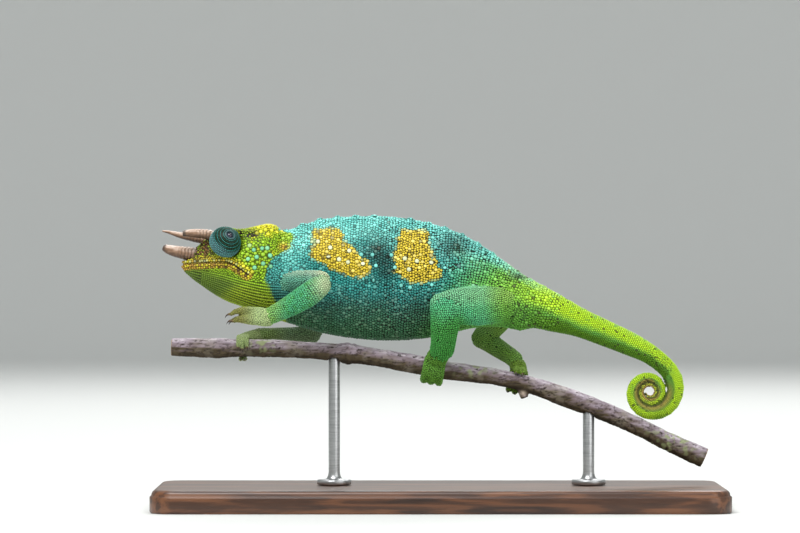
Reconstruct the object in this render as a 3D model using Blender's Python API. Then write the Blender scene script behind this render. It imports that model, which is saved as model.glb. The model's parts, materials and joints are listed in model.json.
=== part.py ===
"""A three-horned chameleon walking along a cut branch, life size, on a plain display stand.

All lengths below are millimetres and MM turns them into metres as each mesh is made.
X runs from the snout (negative) to the tail coil, Y from the animal's left (negative)
to its right, and Z up from the underside of the stand's base.
"""

from math import asin, atan2, copysign, cos, exp, pi, radians, sin, sqrt

import bmesh
import bpy
import numpy as np
from mathutils import Vector

MM = 0.001
GAP = 0.3

# Stand and perch
BASE_LENGTH = 200.0
BASE_WIDTH = 76.0
BASE_HEIGHT = 8.0
BASE_CORNER = 9.0
BASE_EDGE = 1.2
ROD_RADIUS = 2.0
ROD_FOOT_RADIUS = 6.0
ROD_FOOT_HEIGHT = 1.8
ROD_FRONT_X = -37.0
ROD_REAR_X = 52.0
ROD_SINK = 2.2

# Perch stations along its axis: x, z of the middle, radius
PERCH = [
    (-94.0, 56.4, 3.2),
    (-82.6, 56.1, 3.4),
    (-77.5, 56.0, 3.7),
    (-72.0, 56.1, 3.2),
    (-60.0, 55.9, 3.2),
    (-46.9, 55.4, 3.0),
    (-35.0, 54.4, 3.3),
    (-31.5, 54.1, 3.9),
    (-28.0, 53.7, 3.2),
    (-14.0, 51.4, 3.4),
    (5.6, 47.7, 3.3),
    (17.2, 46.4, 3.0),
    (30.6, 43.5, 3.0),
    (44.1, 38.8, 3.6),
    (58.5, 33.4, 3.4),
    (70.7, 27.9, 3.2),
    (81.0, 22.7, 3.4),
    (92.5, 17.6, 3.7),
]
PERCH_RINGS = 27
PERCH_SIDES = 10
TWIG_STUB = [(27.5, 43.5), (29.0, 40.4), (29.6, 38.6)]
TWIG_RADIUS = 1.5

# Head and trunk sections: top x, top z, bottom x, bottom z, half width
BODY = [
    (-90.0, 85.4, -90.0, 83.5, 1.0),
    (-89.3, 86.3, -89.3, 82.5, 2.3),
    (-88.2, 87.4, -88.2, 81.5, 3.2),
    (-86.1, 90.1, -86.1, 79.7, 4.2),
    (-84.0, 92.3, -84.0, 78.2, 5.0),
    (-81.2, 95.2, -81.2, 76.2, 5.8),
    (-78.4, 97.2, -78.4, 74.4, 6.6),
    (-74.2, 98.2, -74.2, 72.1, 7.5),
    (-69.3, 97.9, -69.3, 70.5, 8.5),
    (-64.4, 98.9, -64.4, 68.5, 9.1),
    (-60.2, 99.7, -60.2, 66.8, 9.2),
    (-57.4, 99.1, -57.4, 65.9, 8.6),
    (-55.0, 97.1, -55.0, 65.3, 8.0),
    (-50.4, 98.5, -50.4, 63.8, 8.4),
    (-41.3, 101.3, -41.3, 61.2, 9.2),
    (-29.4, 102.3, -30.8, 59.4, 9.9),
    (-16.8, 102.2, -18.2, 58.5, 10.0),
    (-3.5, 99.9, -5.2, 59.3, 9.5),
    (7.7, 96.1, 4.2, 61.2, 8.8),
    (16.4, 91.0, 12.6, 63.1, 7.9),
    (25.2, 84.6, 22.0, 63.3, 6.8),
    (30.8, 81.0, 28.0, 62.0, 6.0),
    (36.0, 78.2, 32.5, 62.9, 5.3),
    (43.0, 74.3, 39.2, 61.6, 4.7),
    (51.1, 69.6, 46.9, 60.1, 4.1),
    (59.5, 65.6, 56.0, 56.9, 3.65),
    (68.6, 61.2, 65.5, 53.3, 3.3),
    (75.8, 56.6, 71.8, 50.7, 3.0),
]

# Each section narrows towards its top by its keel, and is squarer the higher its power
HEAD_KEEL = 0.12
TORSO_KEEL = 0.3
TAIL_KEEL = 0.1
HEAD_POWER = 2.5
HEAD_SECTIONS = 14
TORSO_POWER = 2.15

# Rolled tail tip: a shrinking spiral, its angle counted clockwise from the right
COIL_X = 73.4
COIL_Z = 40.8
COIL_RADIUS = 9.03
COIL_SHRINK = 0.1204
COIL_THICK = 0.7
COIL_THIN = 0.36
COIL_START = radians(-50)
COIL_END = radians(905)
COIL_STEP = radians(25)
COIL_WIDTH = 0.46
COIL_SIDES = 10

# Where the body is parted: places of sections in BODY, then for the coil its angles and its rings
PARTING = [
    ("head", 0.0, 11.5),
    ("neck", 11.5, 13.0),
    ("torso_front", 13.0, 15.83),
    ("torso_rear", 15.83, 20.0),
    ("tail_root", 20.0, 23.0),
    ("tail_upper", 23.0, 25.2),
    ("tail_middle", 25.2, 28.2),
]
COIL_PARTING = [
    ("tail_coil_outer_right", -45, 120, 10),
    ("tail_coil_outer_left", 120, 290, 10),
    ("tail_coil_inner_right", 290, 470, 10),
    ("tail_coil_inner_left", 470, 905, 17),
]

# Mouth line from the snout to its corner and on to the back of the head: x, z, half opening
MOUTH = [
    (-92.0, 85.2, 0.16),
    (-89.6, 85.3, 0.16),
    (-86.8, 85.7, 0.16),
    (-82.2, 85.9, 0.16),
    (-77.7, 86.1, 0.18),
    (-74.5, 86.1, 0.24),
    (-71.8, 85.2, 0.36),
    (-69.4, 83.6, 0.34),
    (-67.5, 82.2, 0.16),
    (-63.0, 80.8, 0.15),
    (-54.0, 80.0, 0.15),
]

# Eyes
EYE_X = -75.0
EYE_Y = 6.3
EYE_Z = 93.0
EYE_RADIUS = 5.6
EYE_BACK = 1.6
EYE_AIM = (0.38, 0.76, 0.52)
PUPIL_RADIUS = 1.25
PUPIL_SINK = 1.6
LID_RIM = 0.35
LID_RIDGE = 0.08

# Ridges: lips beside the mouth line, and the crest from the brow to the back of the casque
LIP_RADIUS = 0.55
LIP_CLEAR = 0.25
LIP_SINK = 0.12
LIP_WIDEST_X = -89.6
LIP_FRONT = -90.0
LIP_REAR = -69.6
CREST_RADIUS = 0.75
BROW_CREST = [(-70.6, 97.0), (-67.0, 96.6), (-63.0, 97.2), (-59.6, 97.9)]
SNOUT_CREST = [(-86.6, 89.2), (-84.6, 91.2), (-82.4, 93.2)]

# Low rounded studs along the back and the tail: first and last place in BODY, pitch, radius, height
BACK_STUDS = (12.3, 19.8, 6.2, 1.8, 0.75)
TAIL_STUDS = (20.3, 25.0, 5.4, 1.0, 0.5)

# Large round scales on each flank: x, z
FLANK_STUDS = [
    (-42.6, 93.3), (-38.3, 91.2), (-31.7, 90.1), (-38.9, 88.0), (-35.2, 87.1), (-32.1, 86.1),
    (-26.9, 85.6), (-12.3, 87.4), (-8.1, 86.5), (-3.1, 86.0), (-10.9, 83.6), (-27.5, 88.8),
    (-23.6, 88.7), (-17.0, 88.6), (-22.4, 84.9), (-15.8, 84.3), (1.6, 84.2), (6.5, 84.7),
    (-33.7, 82.0), (-26.8, 80.2), (-23.2, 79.8), (-13.6, 78.0), (-10.5, 77.3), (-2.9, 78.2),
]
FLANK_STUD_RADIUS = 0.8
FLANK_STUD_HEIGHT = 0.35
STUD_CLEAR = 0.4

NOSTRIL = (-83.8, 88.7)
NOSTRIL_RADIUS = 0.45

# Horns: x, y, z, radius from root to tip. The rings round each swell by a share of its radius
HORN_RING = 0.06
SOCKET_EASE = 0.12
HORN_ROWS = 15
HORN_PLAIN_ROWS = 4
HORN_NOSE = [
    (-84.0, 0.0, 88.0, 2.7),
    (-87.0, 0.0, 88.9, 2.55),
    (-90.0, 0.0, 89.4, 2.25),
    (-93.4, 0.0, 90.1, 1.9),
    (-96.2, 0.0, 91.0, 1.35),
    (-97.0, 0.0, 91.3, 0.7),
]
HORN_BROW_LEFT = [
    (-78.6, -4.2, 95.0, 1.8),
    (-81.2, -4.4, 95.8, 1.75),
    (-84.5, -4.6, 96.1, 1.6),
    (-87.5, -4.8, 96.2, 1.35),
    (-89.8, -5.0, 96.1, 0.95),
]
HORN_BROW_RIGHT = [
    (-78.8, 4.0, 92.9, 1.7),
    (-82.0, 4.6, 93.7, 1.5),
    (-86.5, 5.1, 94.6, 1.35),
    (-90.8, 5.3, 95.5, 1.1),
    (-95.0, 5.3, 96.6, 0.6),
    (-97.5, 5.3, 97.1, 0.28),
]

# Limbs: x, y, z, half thickness seen from the side, half thickness across
LIMBS = {
    "arm_left_upper": [
        (-54.0, -4.8, 78.9, 3.3, 3.2),
        (-50.0, -8.8, 79.5, 3.5, 3.3),
        (-45.5, -13.0, 80.0, 3.6, 3.3),
        (-41.4, -16.0, 79.7, 3.5, 3.2),
    ],
    "arm_left_lower": [
        (-41.3, -17.4, 78.0, 3.7, 3.4),
        (-45.2, -18.0, 75.0, 4.3, 3.7),
        (-52.4, -16.6, 70.8, 3.8, 3.3),
        (-58.4, -14.4, 67.5, 3.0, 2.7),
    ],
    "arm_right_upper": [
        (-51.5, 4.8, 75.0, 3.3, 3.2),
        (-48.5, 8.0, 71.0, 3.5, 3.3),
        (-45.6, 10.6, 65.5, 3.5, 3.2),
        (-44.4, 12.0, 60.8, 3.1, 3.1),
    ],
    "arm_right_lower": [
        (-44.8, 12.2, 60.2, 2.8, 3.0),
        (-49.0, 10.6, 60.6, 2.7, 3.2),
        (-56.5, 8.0, 61.0, 2.3, 2.7),
        (-62.0, 5.6, 61.0, 2.0, 2.3),
    ],
    "leg_left_upper": [
        (24.5, -3.4, 71.2, 5.6, 3.6),
        (17.5, -7.2, 71.0, 6.9, 4.2),
        (10.0, -10.4, 70.8, 7.1, 4.3),
        (3.2, -12.8, 71.0, 5.9, 3.9),
        (0.3, -13.6, 71.0, 4.6, 3.5),
    ],
    "leg_left_lower": [
        (1.4, -13.8, 70.2, 4.9, 3.7),
        (1.5, -13.0, 65.5, 5.2, 3.8),
        (1.2, -10.6, 59.5, 4.7, 3.4),
        (0.7, -8.0, 55.4, 4.4, 3.1),
    ],
    "leg_right_upper": [
        (24.0, 3.4, 71.4, 5.0, 3.4),
        (20.5, 8.2, 66.0, 5.0, 3.7),
        (16.0, 12.4, 60.8, 4.0, 3.5),
        (14.2, 13.6, 59.2, 3.2, 3.2),
    ],
    "leg_right_lower": [
        (14.6, 13.8, 59.0, 3.1, 3.1),
        (19.0, 11.4, 56.6, 3.4, 3.2),
        (23.6, 7.6, 53.9, 3.3, 3.0),
        (26.4, 4.6, 52.0, 3.0, 2.7),
    ],
}

# Free left hand. Palm: x, z, half thickness, half depth. Digits of each bundle: x, z, half thickness
HAND_Y = -14.3
HAND_PALM = [(-58.6, 67.0, 3.1, 2.7), (-61.2, 67.0, 3.3, 3.0), (-64.0, 67.2, 2.9, 2.9)]
HAND_PARTING_Z = 68.1
HAND_CLEFT_X = -67.0
HAND_BUNDLES = {
    "upper": [(-60.5, 68.8, 1.4), (-62.3, 69.1, 1.4), (-66.5, 69.5, 1.35), (-69.3, 69.45, 1.2),
              (-71.5, 68.95, 1.0), (-73.1, 68.05, 0.75)],
    "lower": [(-60.5, 66.0, 1.9), (-62.3, 65.9, 1.9), (-65.8, 66.0, 1.8), (-68.6, 66.3, 1.5),
              (-70.8, 66.3, 1.15), (-72.2, 65.8, 0.8)],
}
HAND_DIGITS = {"upper": 2, "lower": 3}
HAND_SPREAD = 1.8
HAND_SPLAY = (0.75, 0.07)
HAND_OUTER_SHORTER = 0.9

# Gripping feet: place along the perch, wrist or ankle, digit size, digits in front and behind,
# and how far round the perch each group reaches from its top, in degrees
GRIPS = {
    "arm_right": {
        "x": -69.0,
        "from": (-62.4, 5.4, 61.0),
        "palm": 2.3,
        "digit": 0.95,
        "pitch": 1.62,
        "front": (3, 85),
        "back": (2, 185),
    },
    "leg_left": {
        "x": -2.2,
        "from": (0.5, -7.2, 54.6),
        "palm": 3.6,
        "digit": 1.8,
        "pitch": 2.7,
        "front": (3, 178),
        "back": (2, 125),
    },
    "leg_right": {
        "x": 27.0,
        "from": (26.8, 4.0, 51.0),
        "palm": 2.9,
        "digit": 1.5,
        "pitch": 2.3,
        "front": (2, 34),
        "back": (3, 150),
    },
}
FOOT_NAMES = {"front": "inner", "back": "outer"}
LEFT_FOOT_NAMES = {"front": "outer", "back": "inner"}
CLAW_LENGTH = 2.0
CLAW_SHARES = (-0.35, 0.3, 1.0)
CLAW_CURL = 0.25
CLAW_DROP = 0.6
CLAW_TAPER = 0.85
CLAW_RADIUS = 0.42


def clear_scene():
    for obj in list(bpy.data.objects):
        bpy.data.objects.remove(obj, do_unlink=True)


def finish(name, colour, roughness, metallic=0.0):
    material = bpy.data.materials.new(name)
    material.use_nodes = True
    shader = material.node_tree.nodes["Principled BSDF"]
    shader.inputs["Base Color"].default_value = (*colour, 1.0)
    shader.inputs["Roughness"].default_value = roughness
    shader.inputs["Metallic"].default_value = metallic
    return material


def spline(values, at):
    """Smooth curve through rows of values, read at the places in at (0 is the first row)."""
    rows = np.asarray(values, float)
    steps = np.sqrt(np.sqrt(np.sum(np.diff(rows[:, :3], axis=0) ** 2, axis=1)) + 1e-9)
    knots = np.concatenate([[0.0], np.cumsum(steps)])
    slopes = np.gradient(rows, knots, axis=0)
    found = []
    for place in at:
        i = int(min(max(place, 0), len(rows) - 1 - 1e-9))
        f = place - i
        span = knots[i + 1] - knots[i]
        start = rows[i] * (2 * f**3 - 3 * f**2 + 1) + slopes[i] * span * (f**3 - 2 * f**2 + f)
        end = rows[i + 1] * (3 * f**2 - 2 * f**3) + slopes[i + 1] * span * (f**3 - f**2)
        found.append(start + end)
    return np.array(found)


def mesh_object(name, points, faces):
    mesh = bpy.data.meshes.new(name)
    mesh.from_pydata([tuple(MM * c for c in p) for p in points], [], faces)
    shell = bmesh.new()
    shell.from_mesh(mesh)
    bmesh.ops.recalc_face_normals(shell, faces=shell.faces)
    shell.to_mesh(mesh)
    shell.free()
    obj = bpy.data.objects.new(name, mesh)
    bpy.context.scene.collection.objects.link(obj)
    return obj


def loft(name, rings):
    """A closed skin over rings of equal count, with a flat cap at each end."""
    sides = len(rings[0])
    points = [p for ring in rings for p in ring]
    faces = []
    for i in range(len(rings) - 1):
        for k in range(sides):
            n = (k + 1) % sides
            a, b = i * sides, (i + 1) * sides
            faces.append((a + k, a + n, b + n, b + k))
    last = (len(rings) - 1) * sides
    faces.append(tuple(range(sides)))
    faces.append(tuple(last + k for k in range(sides)))
    return mesh_object(name, points, faces)


def dome(steps):
    """Shares of radius and of height, from the tip of a round end to its full size."""
    return [(sin(pi / 2 * (i + 0.7) / (steps + 0.7)), 1 - cos(pi / 2 * (i + 0.7) / (steps + 0.7)))
            for i in range(steps)]


def tube(name, stations, sides=10, rings=7, grow=0.0, across=(0, 1, 0), ends=(0, 0)):
    """A tapered limb through x, y, z, half thickness, half depth. ends counts rings of a round end."""
    table = [s if len(s) == 5 else (*s, s[3]) for s in stations]
    rows = spline(table, np.linspace(0, len(table) - 1, rings))
    centres = rows[:, :3]
    sizes = rows[:, 3:] + grow
    tangents = np.gradient(centres, axis=0)
    tangents /= np.linalg.norm(tangents, axis=1)[:, None]
    placed = []
    start = [(centres[0] - tangents[0] * (grow + h * sizes[0].mean()), tangents[0], sizes[0] * r)
             for r, h in [(r, 1 - h) for r, h in dome(ends[0])]]
    if not start:
        start = [(centres[0] - tangents[0] * grow, tangents[0], sizes[0])] if grow else []
    middle = list(zip(centres, tangents, sizes))
    end = [(centres[-1] + tangents[-1] * (grow + h * sizes[-1].mean()), tangents[-1], sizes[-1] * r)
           for r, h in [(r, 1 - h) for r, h in reversed(dome(ends[1]))]]
    if not end:
        end = [(centres[-1] + tangents[-1] * grow, tangents[-1], sizes[-1])] if grow else []
    for centre, tangent, size in start + middle + end:
        deep = np.array(across, float)
        deep -= tangent * deep.dot(tangent)
        deep /= np.linalg.norm(deep)
        thick = np.cross(tangent, deep)
        ring = []
        for k in range(sides):
            turn = 2 * pi * (k + 0.5) / sides
            ring.append(centre + thick * size[0] * cos(turn) + deep * size[1] * sin(turn))
        placed.append(ring)
    return loft(name, placed)


def is_closed(mesh):
    shell = bmesh.new()
    shell.from_mesh(mesh)
    whole = len(shell.faces) > 3 and all(edge.is_manifold for edge in shell.edges)
    shell.free()
    return whole


def combine(obj, others, operation):
    """One Boolean with a collection of closed meshes, which are then removed."""
    group = bpy.data.collections.new("cutters")
    bpy.context.scene.collection.children.link(group)
    for other in others:
        bpy.context.scene.collection.objects.unlink(other)
        group.objects.link(other)
    boolean = obj.modifiers.new("combine", "BOOLEAN")
    boolean.operand_type = "COLLECTION"
    boolean.collection = group
    boolean.operation = operation
    for solver in ("EXACT", "MANIFOLD"):
        boolean.solver = solver
        graph = bpy.context.evaluated_depsgraph_get()
        mesh = bpy.data.meshes.new_from_object(obj.evaluated_get(graph))
        if is_closed(mesh):
            break
    obj.modifiers.clear()
    obj.data = mesh
    for other in others:
        bpy.data.objects.remove(other, do_unlink=True)
    bpy.data.collections.remove(group)
    return obj


def islands(shell):
    left = set(shell.faces)
    while left:
        seed = left.pop()
        found = [seed]
        for face in found:
            for edge in face.edges:
                for beside in edge.link_faces:
                    if beside in left:
                        left.remove(beside)
                        found.append(beside)
        yield found


def volume_of(faces):
    total = 0.0
    for face in faces:
        corners = [v.co for v in face.verts]
        for i in range(1, len(corners) - 1):
            total += corners[0].dot(corners[i].cross(corners[i + 1])) / 6
    return abs(total)


def keep_largest(obj):
    shell = bmesh.new()
    shell.from_mesh(obj.data)
    groups = sorted(islands(shell), key=volume_of)
    spare = [face for group in groups[:-1] for face in group]
    bmesh.ops.delete(shell, geom=spare, context="FACES")
    loose = [v for v in shell.verts if not v.link_faces]
    bmesh.ops.delete(shell, geom=loose, context="VERTS")
    shell.to_mesh(obj.data)
    shell.free()
    return obj


def joined(name, pieces):
    first, rest = pieces[0], pieces[1:]
    if rest:
        combine(first, rest, "UNION")
    first.name = name
    first.data.name = name
    return keep_largest(first)


def shade(obj, material):
    obj.data.materials.clear()
    obj.data.materials.append(material)
    obj.data.shade_smooth()
    obj.data.set_sharp_from_angle(angle=radians(40))
    return obj


def body_rows():
    """Each section of head, trunk and tail: middle x, z, the way up, half height, half width."""
    rows = []
    for top_x, top_z, low_x, low_z, width in BODY:
        up = np.array([top_x - low_x, top_z - low_z])
        height = np.linalg.norm(up)
        up /= height
        rows.append(((top_x + low_x) / 2, 0.0, (top_z + low_z) / 2, up[0], up[1], height / 2, width))
    count = round((COIL_END - COIL_START) / COIL_STEP)
    for i in range(count + 1):
        turn = COIL_START + (COIL_END - COIL_START) * i / count
        radius = COIL_RADIUS * exp(-COIL_SHRINK * turn)
        thick = COIL_THICK * radius - COIL_THIN
        x = COIL_X + radius * cos(turn)
        z = COIL_Z - radius * sin(turn)
        rows.append((x, 0.0, z, cos(turn), -sin(turn), thick / 2, thick * COIL_WIDTH))
    return rows


def coil_place(angle):
    """The place in the body's rows of an angle along the rolled tail tip."""
    count = round((COIL_END - COIL_START) / COIL_STEP)
    return len(BODY) + (radians(angle) - COIL_START) / (COIL_END - COIL_START) * count


def girth(rise, keel, power):
    """Share of the half width at a height from -1 at the bottom of a section to 1 at its top."""
    return (1 - min(abs(rise), 1.0) ** power) ** (1 / power) * (1 - keel * max(rise, 0))


def body_ring(row, sides, keel, power):
    x, y, z, up_x, up_z, height, width = row
    up = np.array([up_x, 0, up_z]) / sqrt(up_x**2 + up_z**2)
    ring = []
    for k in range(sides):
        turn = 2 * pi * k / sides
        rise = copysign(abs(cos(turn)) ** (2 / power), cos(turn))
        side = copysign(girth(rise, keel, power), sin(turn))
        ring.append(np.array([x, y, z]) + up * height * rise + np.array([0, width * side, 0]))
    return ring


def shape_of(place):
    """Keel and squareness of the body's section at a place: head, trunk, then tail."""
    marks = [0, 10.5, 13, 19, 22, 30]
    keels = [HEAD_KEEL, HEAD_KEEL, TORSO_KEEL, TORSO_KEEL, TAIL_KEEL, TAIL_KEEL]
    keel = float(np.interp(place, marks, keels))
    power = float(np.interp(place, marks, [HEAD_POWER, HEAD_POWER, TORSO_POWER, TORSO_POWER, 2.0, 2.0]))
    return keel, power


def flank_point(x, z, side):
    """The body's surface at x, z on one side, the way out of it, and its place along the body."""
    places = np.linspace(4, 24, 401)
    rows = spline(body_rows(), places)
    ups = rows[:, 3:5] / np.linalg.norm(rows[:, 3:5], axis=1)[:, None]
    away = np.array([x, z]) - rows[:, [0, 2]]
    rises = np.sum(away * ups, axis=1)
    beyond = np.abs(rises) > rows[:, 5] * 1.1
    misses = np.abs(away[:, 0] * ups[:, 1] - away[:, 1] * ups[:, 0]) + 100 * beyond
    best = int(np.argmin(misses))
    keel, power = shape_of(places[best])
    height, width = rows[best, 5:7]

    def half_width(rise):
        return width * girth(float(np.clip(rise / height, -1, 1)), keel, power)

    slope = (half_width(rises[best] + 0.3) - half_width(rises[best] - 0.3)) / 0.6
    out = np.array([-slope * ups[best, 0], side, -slope * ups[best, 1]])
    return np.array([x, side * half_width(rises[best]), z]), out / np.linalg.norm(out), places[best]


def back_point(place):
    row = spline(body_rows(), [place])[0]
    up = np.array([row[3], 0, row[4]]) / sqrt(row[3] ** 2 + row[4] ** 2)
    return row[:3] + up * row[5], up


def stud(place, out, radius, height):
    """A low round scale with its root sunk in the surface."""
    profile = [(-radius * 0.8, radius * 0.9), (height * 0.35, radius * 0.9), (height, radius * 0.35)]
    return turned("stud", profile, place, out, 6)


def studs_of(start, end, step):
    """All the large scales whose middle lies between two places of the body, clear of its partings."""
    found = []
    for first, last, pitch, radius, height in (BACK_STUDS, TAIL_STUDS):
        place, walked = first, pitch
        top, _ = back_point(first)
        while place < last:
            spot, up = back_point(place)
            walked += float(np.linalg.norm(spot - top))
            top = spot
            if walked >= pitch:
                walked = 0.0
                margin = (radius + STUD_CLEAR) / step(place)
                if start + margin < place < end - margin:
                    fade = 1 - 0.35 * (place - first) / (last - first)
                    found.append(stud(spot - up * 0.15, up, radius * fade, height * fade))
            place += 0.02
    for x, z in FLANK_STUDS:
        for side in (-1, 1):
            spot, out, place = flank_point(x, z, side)
            margin = (FLANK_STUD_RADIUS + STUD_CLEAR) / step(place)
            if start + margin < place < end - margin:
                found.append(stud(spot, out, FLANK_STUD_RADIUS, FLANK_STUD_HEIGHT))
    return found


def row_step(place):
    """Length of the body for each step of its place."""
    near = spline(body_rows(), [place - 0.05, place + 0.05])
    return float(np.linalg.norm(near[1, :3] - near[0, :3])) / 0.1


def body_length(name, start, end, sides, rings, cut=GAP / 2):
    rows = body_rows()
    places = np.linspace(start, end, rings)
    read = spline(rows, places)
    step = np.linalg.norm(read[1, :3] - read[0, :3]) / (places[1] - places[0])
    last = np.linalg.norm(read[-1, :3] - read[-2, :3]) / (places[-1] - places[-2])
    if start > 0:
        places[0] += cut / step
    places[-1] -= cut / last
    read = spline(rows, places)
    return loft(name, [body_ring(row, sides, *shape_of(place)) for row, place in zip(read, places)])


def mouth_block(name, below):
    """All that lies under the mouth line, or over it, as a block wider than the head."""
    sign = -1 if below else 1
    rows = spline([(x, 0, z, half) for x, z, half in MOUTH], np.linspace(0, len(MOUTH) - 1, 31))
    edge = [(x, z - sign * half) for x, _, z, half in rows]
    far = 60.0 if below else 110.0
    outline = edge + [(edge[-1][0], far), (edge[0][0], far)]
    return prism(name, outline, -15.0, 15.0)


def prism(name, outline, y_low, y_high):
    count = len(outline)
    points = [(x, y_low, z) for x, z in outline] + [(x, y_high, z) for x, z in outline]
    faces = [tuple(range(count)), tuple(range(count, 2 * count))]
    faces += [(k, (k + 1) % count, count + (k + 1) % count, count + k) for k in range(count)]
    return mesh_object(name, points, faces)


def turned(name, profile, origin, axis, sides):
    """A turned solid: profile holds distance along the axis and radius, its ends closed flat."""
    axis = np.array(axis, float)
    axis /= np.linalg.norm(axis)
    first = np.cross(axis, (1, 0, 0))
    first /= np.linalg.norm(first)
    second = np.cross(axis, first)
    rings = []
    for along, radius in profile:
        middle = np.array(origin) + axis * along
        rings.append([middle + radius * (first * cos(2 * pi * k / sides) + second * sin(2 * pi * k / sides))
                      for k in range(sides)])
    return loft(name, rings)


def eye_axis(side):
    return (EYE_X, side * EYE_Y, EYE_Z), (EYE_AIM[0], side * EYE_AIM[1], EYE_AIM[2])


def turret(name, side, grow=0.0):
    origin, axis = eye_axis(side)
    radius = EYE_RADIUS + grow
    back = EYE_BACK + grow
    front = asin((PUPIL_RADIUS + LID_RIM * 2) / EYE_RADIUS)
    start = pi - asin(sqrt(radius**2 - back**2) / radius)
    profile = []
    for i in range(9):
        turn = start + (front - start) * i / 8
        ridge = 0.0 if grow or i in (0, 8) else LID_RIDGE * (1 if i % 2 else -1)
        profile.append(((radius + ridge) * cos(turn), (radius + ridge) * sin(turn)))
    profile.append((profile[-1][0] + LID_RIM, PUPIL_RADIUS + LID_RIM * 1.5))
    return turned(name, profile, origin, axis, 16)


def eyeball(name, side, grow=0.0):
    origin, axis = eye_axis(side)
    top = EYE_RADIUS - 0.25
    radius = PUPIL_RADIUS + grow
    profile = [(top - PUPIL_SINK - grow, radius)]
    for i in range(4):
        turn = pi / 2 * i / 4
        rise = PUPIL_RADIUS * 0.55 * sin(turn) + (grow * 6 if grow else 0)
        profile.append((top - 0.5 + rise, radius * (1 if grow else cos(turn))))
    if not grow:
        profile.append((top - 0.5 + PUPIL_RADIUS * 0.55, radius * 0.12))
    return turned(name, profile, origin, axis, 12)


def horn(name, stations, grow=0.0):
    """A tapered horn whose lower half is ringed."""
    smooth = spline([(*s, s[3]) for s in stations], np.linspace(0, len(stations) - 1, HORN_ROWS))
    last = HORN_ROWS - 1
    rings = []
    for k, row in enumerate(smooth):
        plain = grow or k > last - HORN_PLAIN_ROWS
        swell = 0.0 if plain else HORN_RING * (1 if k % 2 else -1) * (1 - k / last)
        rings.append((*row[:3], row[3] * (1 + swell), row[4] * (1 + swell)))
    return tube(name, rings, sides=10, rings=HORN_ROWS, grow=grow + (SOCKET_EASE if grow else 0.0))


def perch_row(x):
    """Middle z and radius of the perch at x, and its direction."""
    xs = [s[0] for s in PERCH]
    z = float(np.interp(x, xs, [s[1] for s in PERCH]))
    radius = float(np.interp(x, xs, [s[2] for s in PERCH]))
    ahead = float(np.interp(x + 4, xs, [s[1] for s in PERCH]))
    behind = float(np.interp(x - 4, xs, [s[1] for s in PERCH]))
    way = np.array([8.0, 0.0, ahead - behind])
    return z, radius, way / np.linalg.norm(way)


def perch_pieces(grow=0.0):
    bough = tube("perch_bough", [(x, 0, z, r, r) for x, z, r in PERCH], sides=PERCH_SIDES,
                 rings=PERCH_RINGS, grow=grow)
    stub = tube("perch_stub", [(x, 0, z, TWIG_RADIUS, TWIG_RADIUS) for x, z in TWIG_STUB], sides=8,
                rings=4, grow=grow)
    return [bough, stub]


def claw(name, root, way, down, radius=CLAW_RADIUS, length=CLAW_LENGTH):
    """A curved claw from root, first along way and then bending down."""
    root, way, down = np.array(root), np.array(way, float), np.array(down, float)
    points = []
    for share in CLAW_SHARES:
        out = max(share, 0)
        ahead = length * share * (1 - CLAW_CURL * out)
        place = root + way * ahead + down * length * CLAW_DROP * out ** 2
        size = radius * (1 - CLAW_TAPER * out)
        points.append((*place, size, size))
    return tube(name, points, sides=4, rings=4)


def hand_pieces(which, grow=0.0):
    """The palm of the free hand with one of its two bundles of digits."""
    axis = HAND_BUNDLES[which]
    count = HAND_DIGITS[which]
    palm = [(x, HAND_Y, z, thick, deep) for x, z, thick, deep in HAND_PALM]
    pieces = [tube("palm", palm, sides=10, rings=5, grow=grow, ends=(0, 2))]
    for i in range(count):
        aside = i - (count - 1) / 2
        stations = []
        for k, (x, z, thick) in enumerate(axis):
            back = HAND_OUTER_SHORTER * abs(aside) * k / (len(axis) - 1)
            spread = HAND_SPREAD * (HAND_SPLAY[0] + HAND_SPLAY[1] * k)
            stations.append((x + back, HAND_Y + aside * spread, z, thick, thick))
        pieces.append(tube("digit", stations, sides=6, rings=6, grow=grow, ends=(0, 1)))
        tip = stations[-1]
        pieces.append(claw("claw", (tip[0] - 0.6, tip[1], tip[2]), (-1, 0, -0.15), (0, 0, -1)))
    return pieces


def hand_parting(which):
    """A block that takes away the other bundle's half of the free hand's palm."""
    sign = -1 if which == "upper" else 1
    low = HAND_PARTING_Z - sign * GAP / 2
    outline = [(HAND_CLEFT_X, low), (-50, low), (-50, low + sign * 9), (HAND_CLEFT_X, low + sign * 9)]
    return prism("parting", outline, -25.0, -5.0)


def grip_frame(foot):
    """The perch under a foot: its middle, radius, direction, the way up, and the palm's angle."""
    x = GRIPS[foot]["x"]
    z, radius, way = perch_row(x)
    middle = np.array([x, 0.0, z])
    up = np.array([-way[2], 0.0, way[0]])
    wrist = np.array(GRIPS[foot]["from"]) - middle
    return middle, radius, way, up, atan2(wrist[1], wrist.dot(up))


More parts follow.
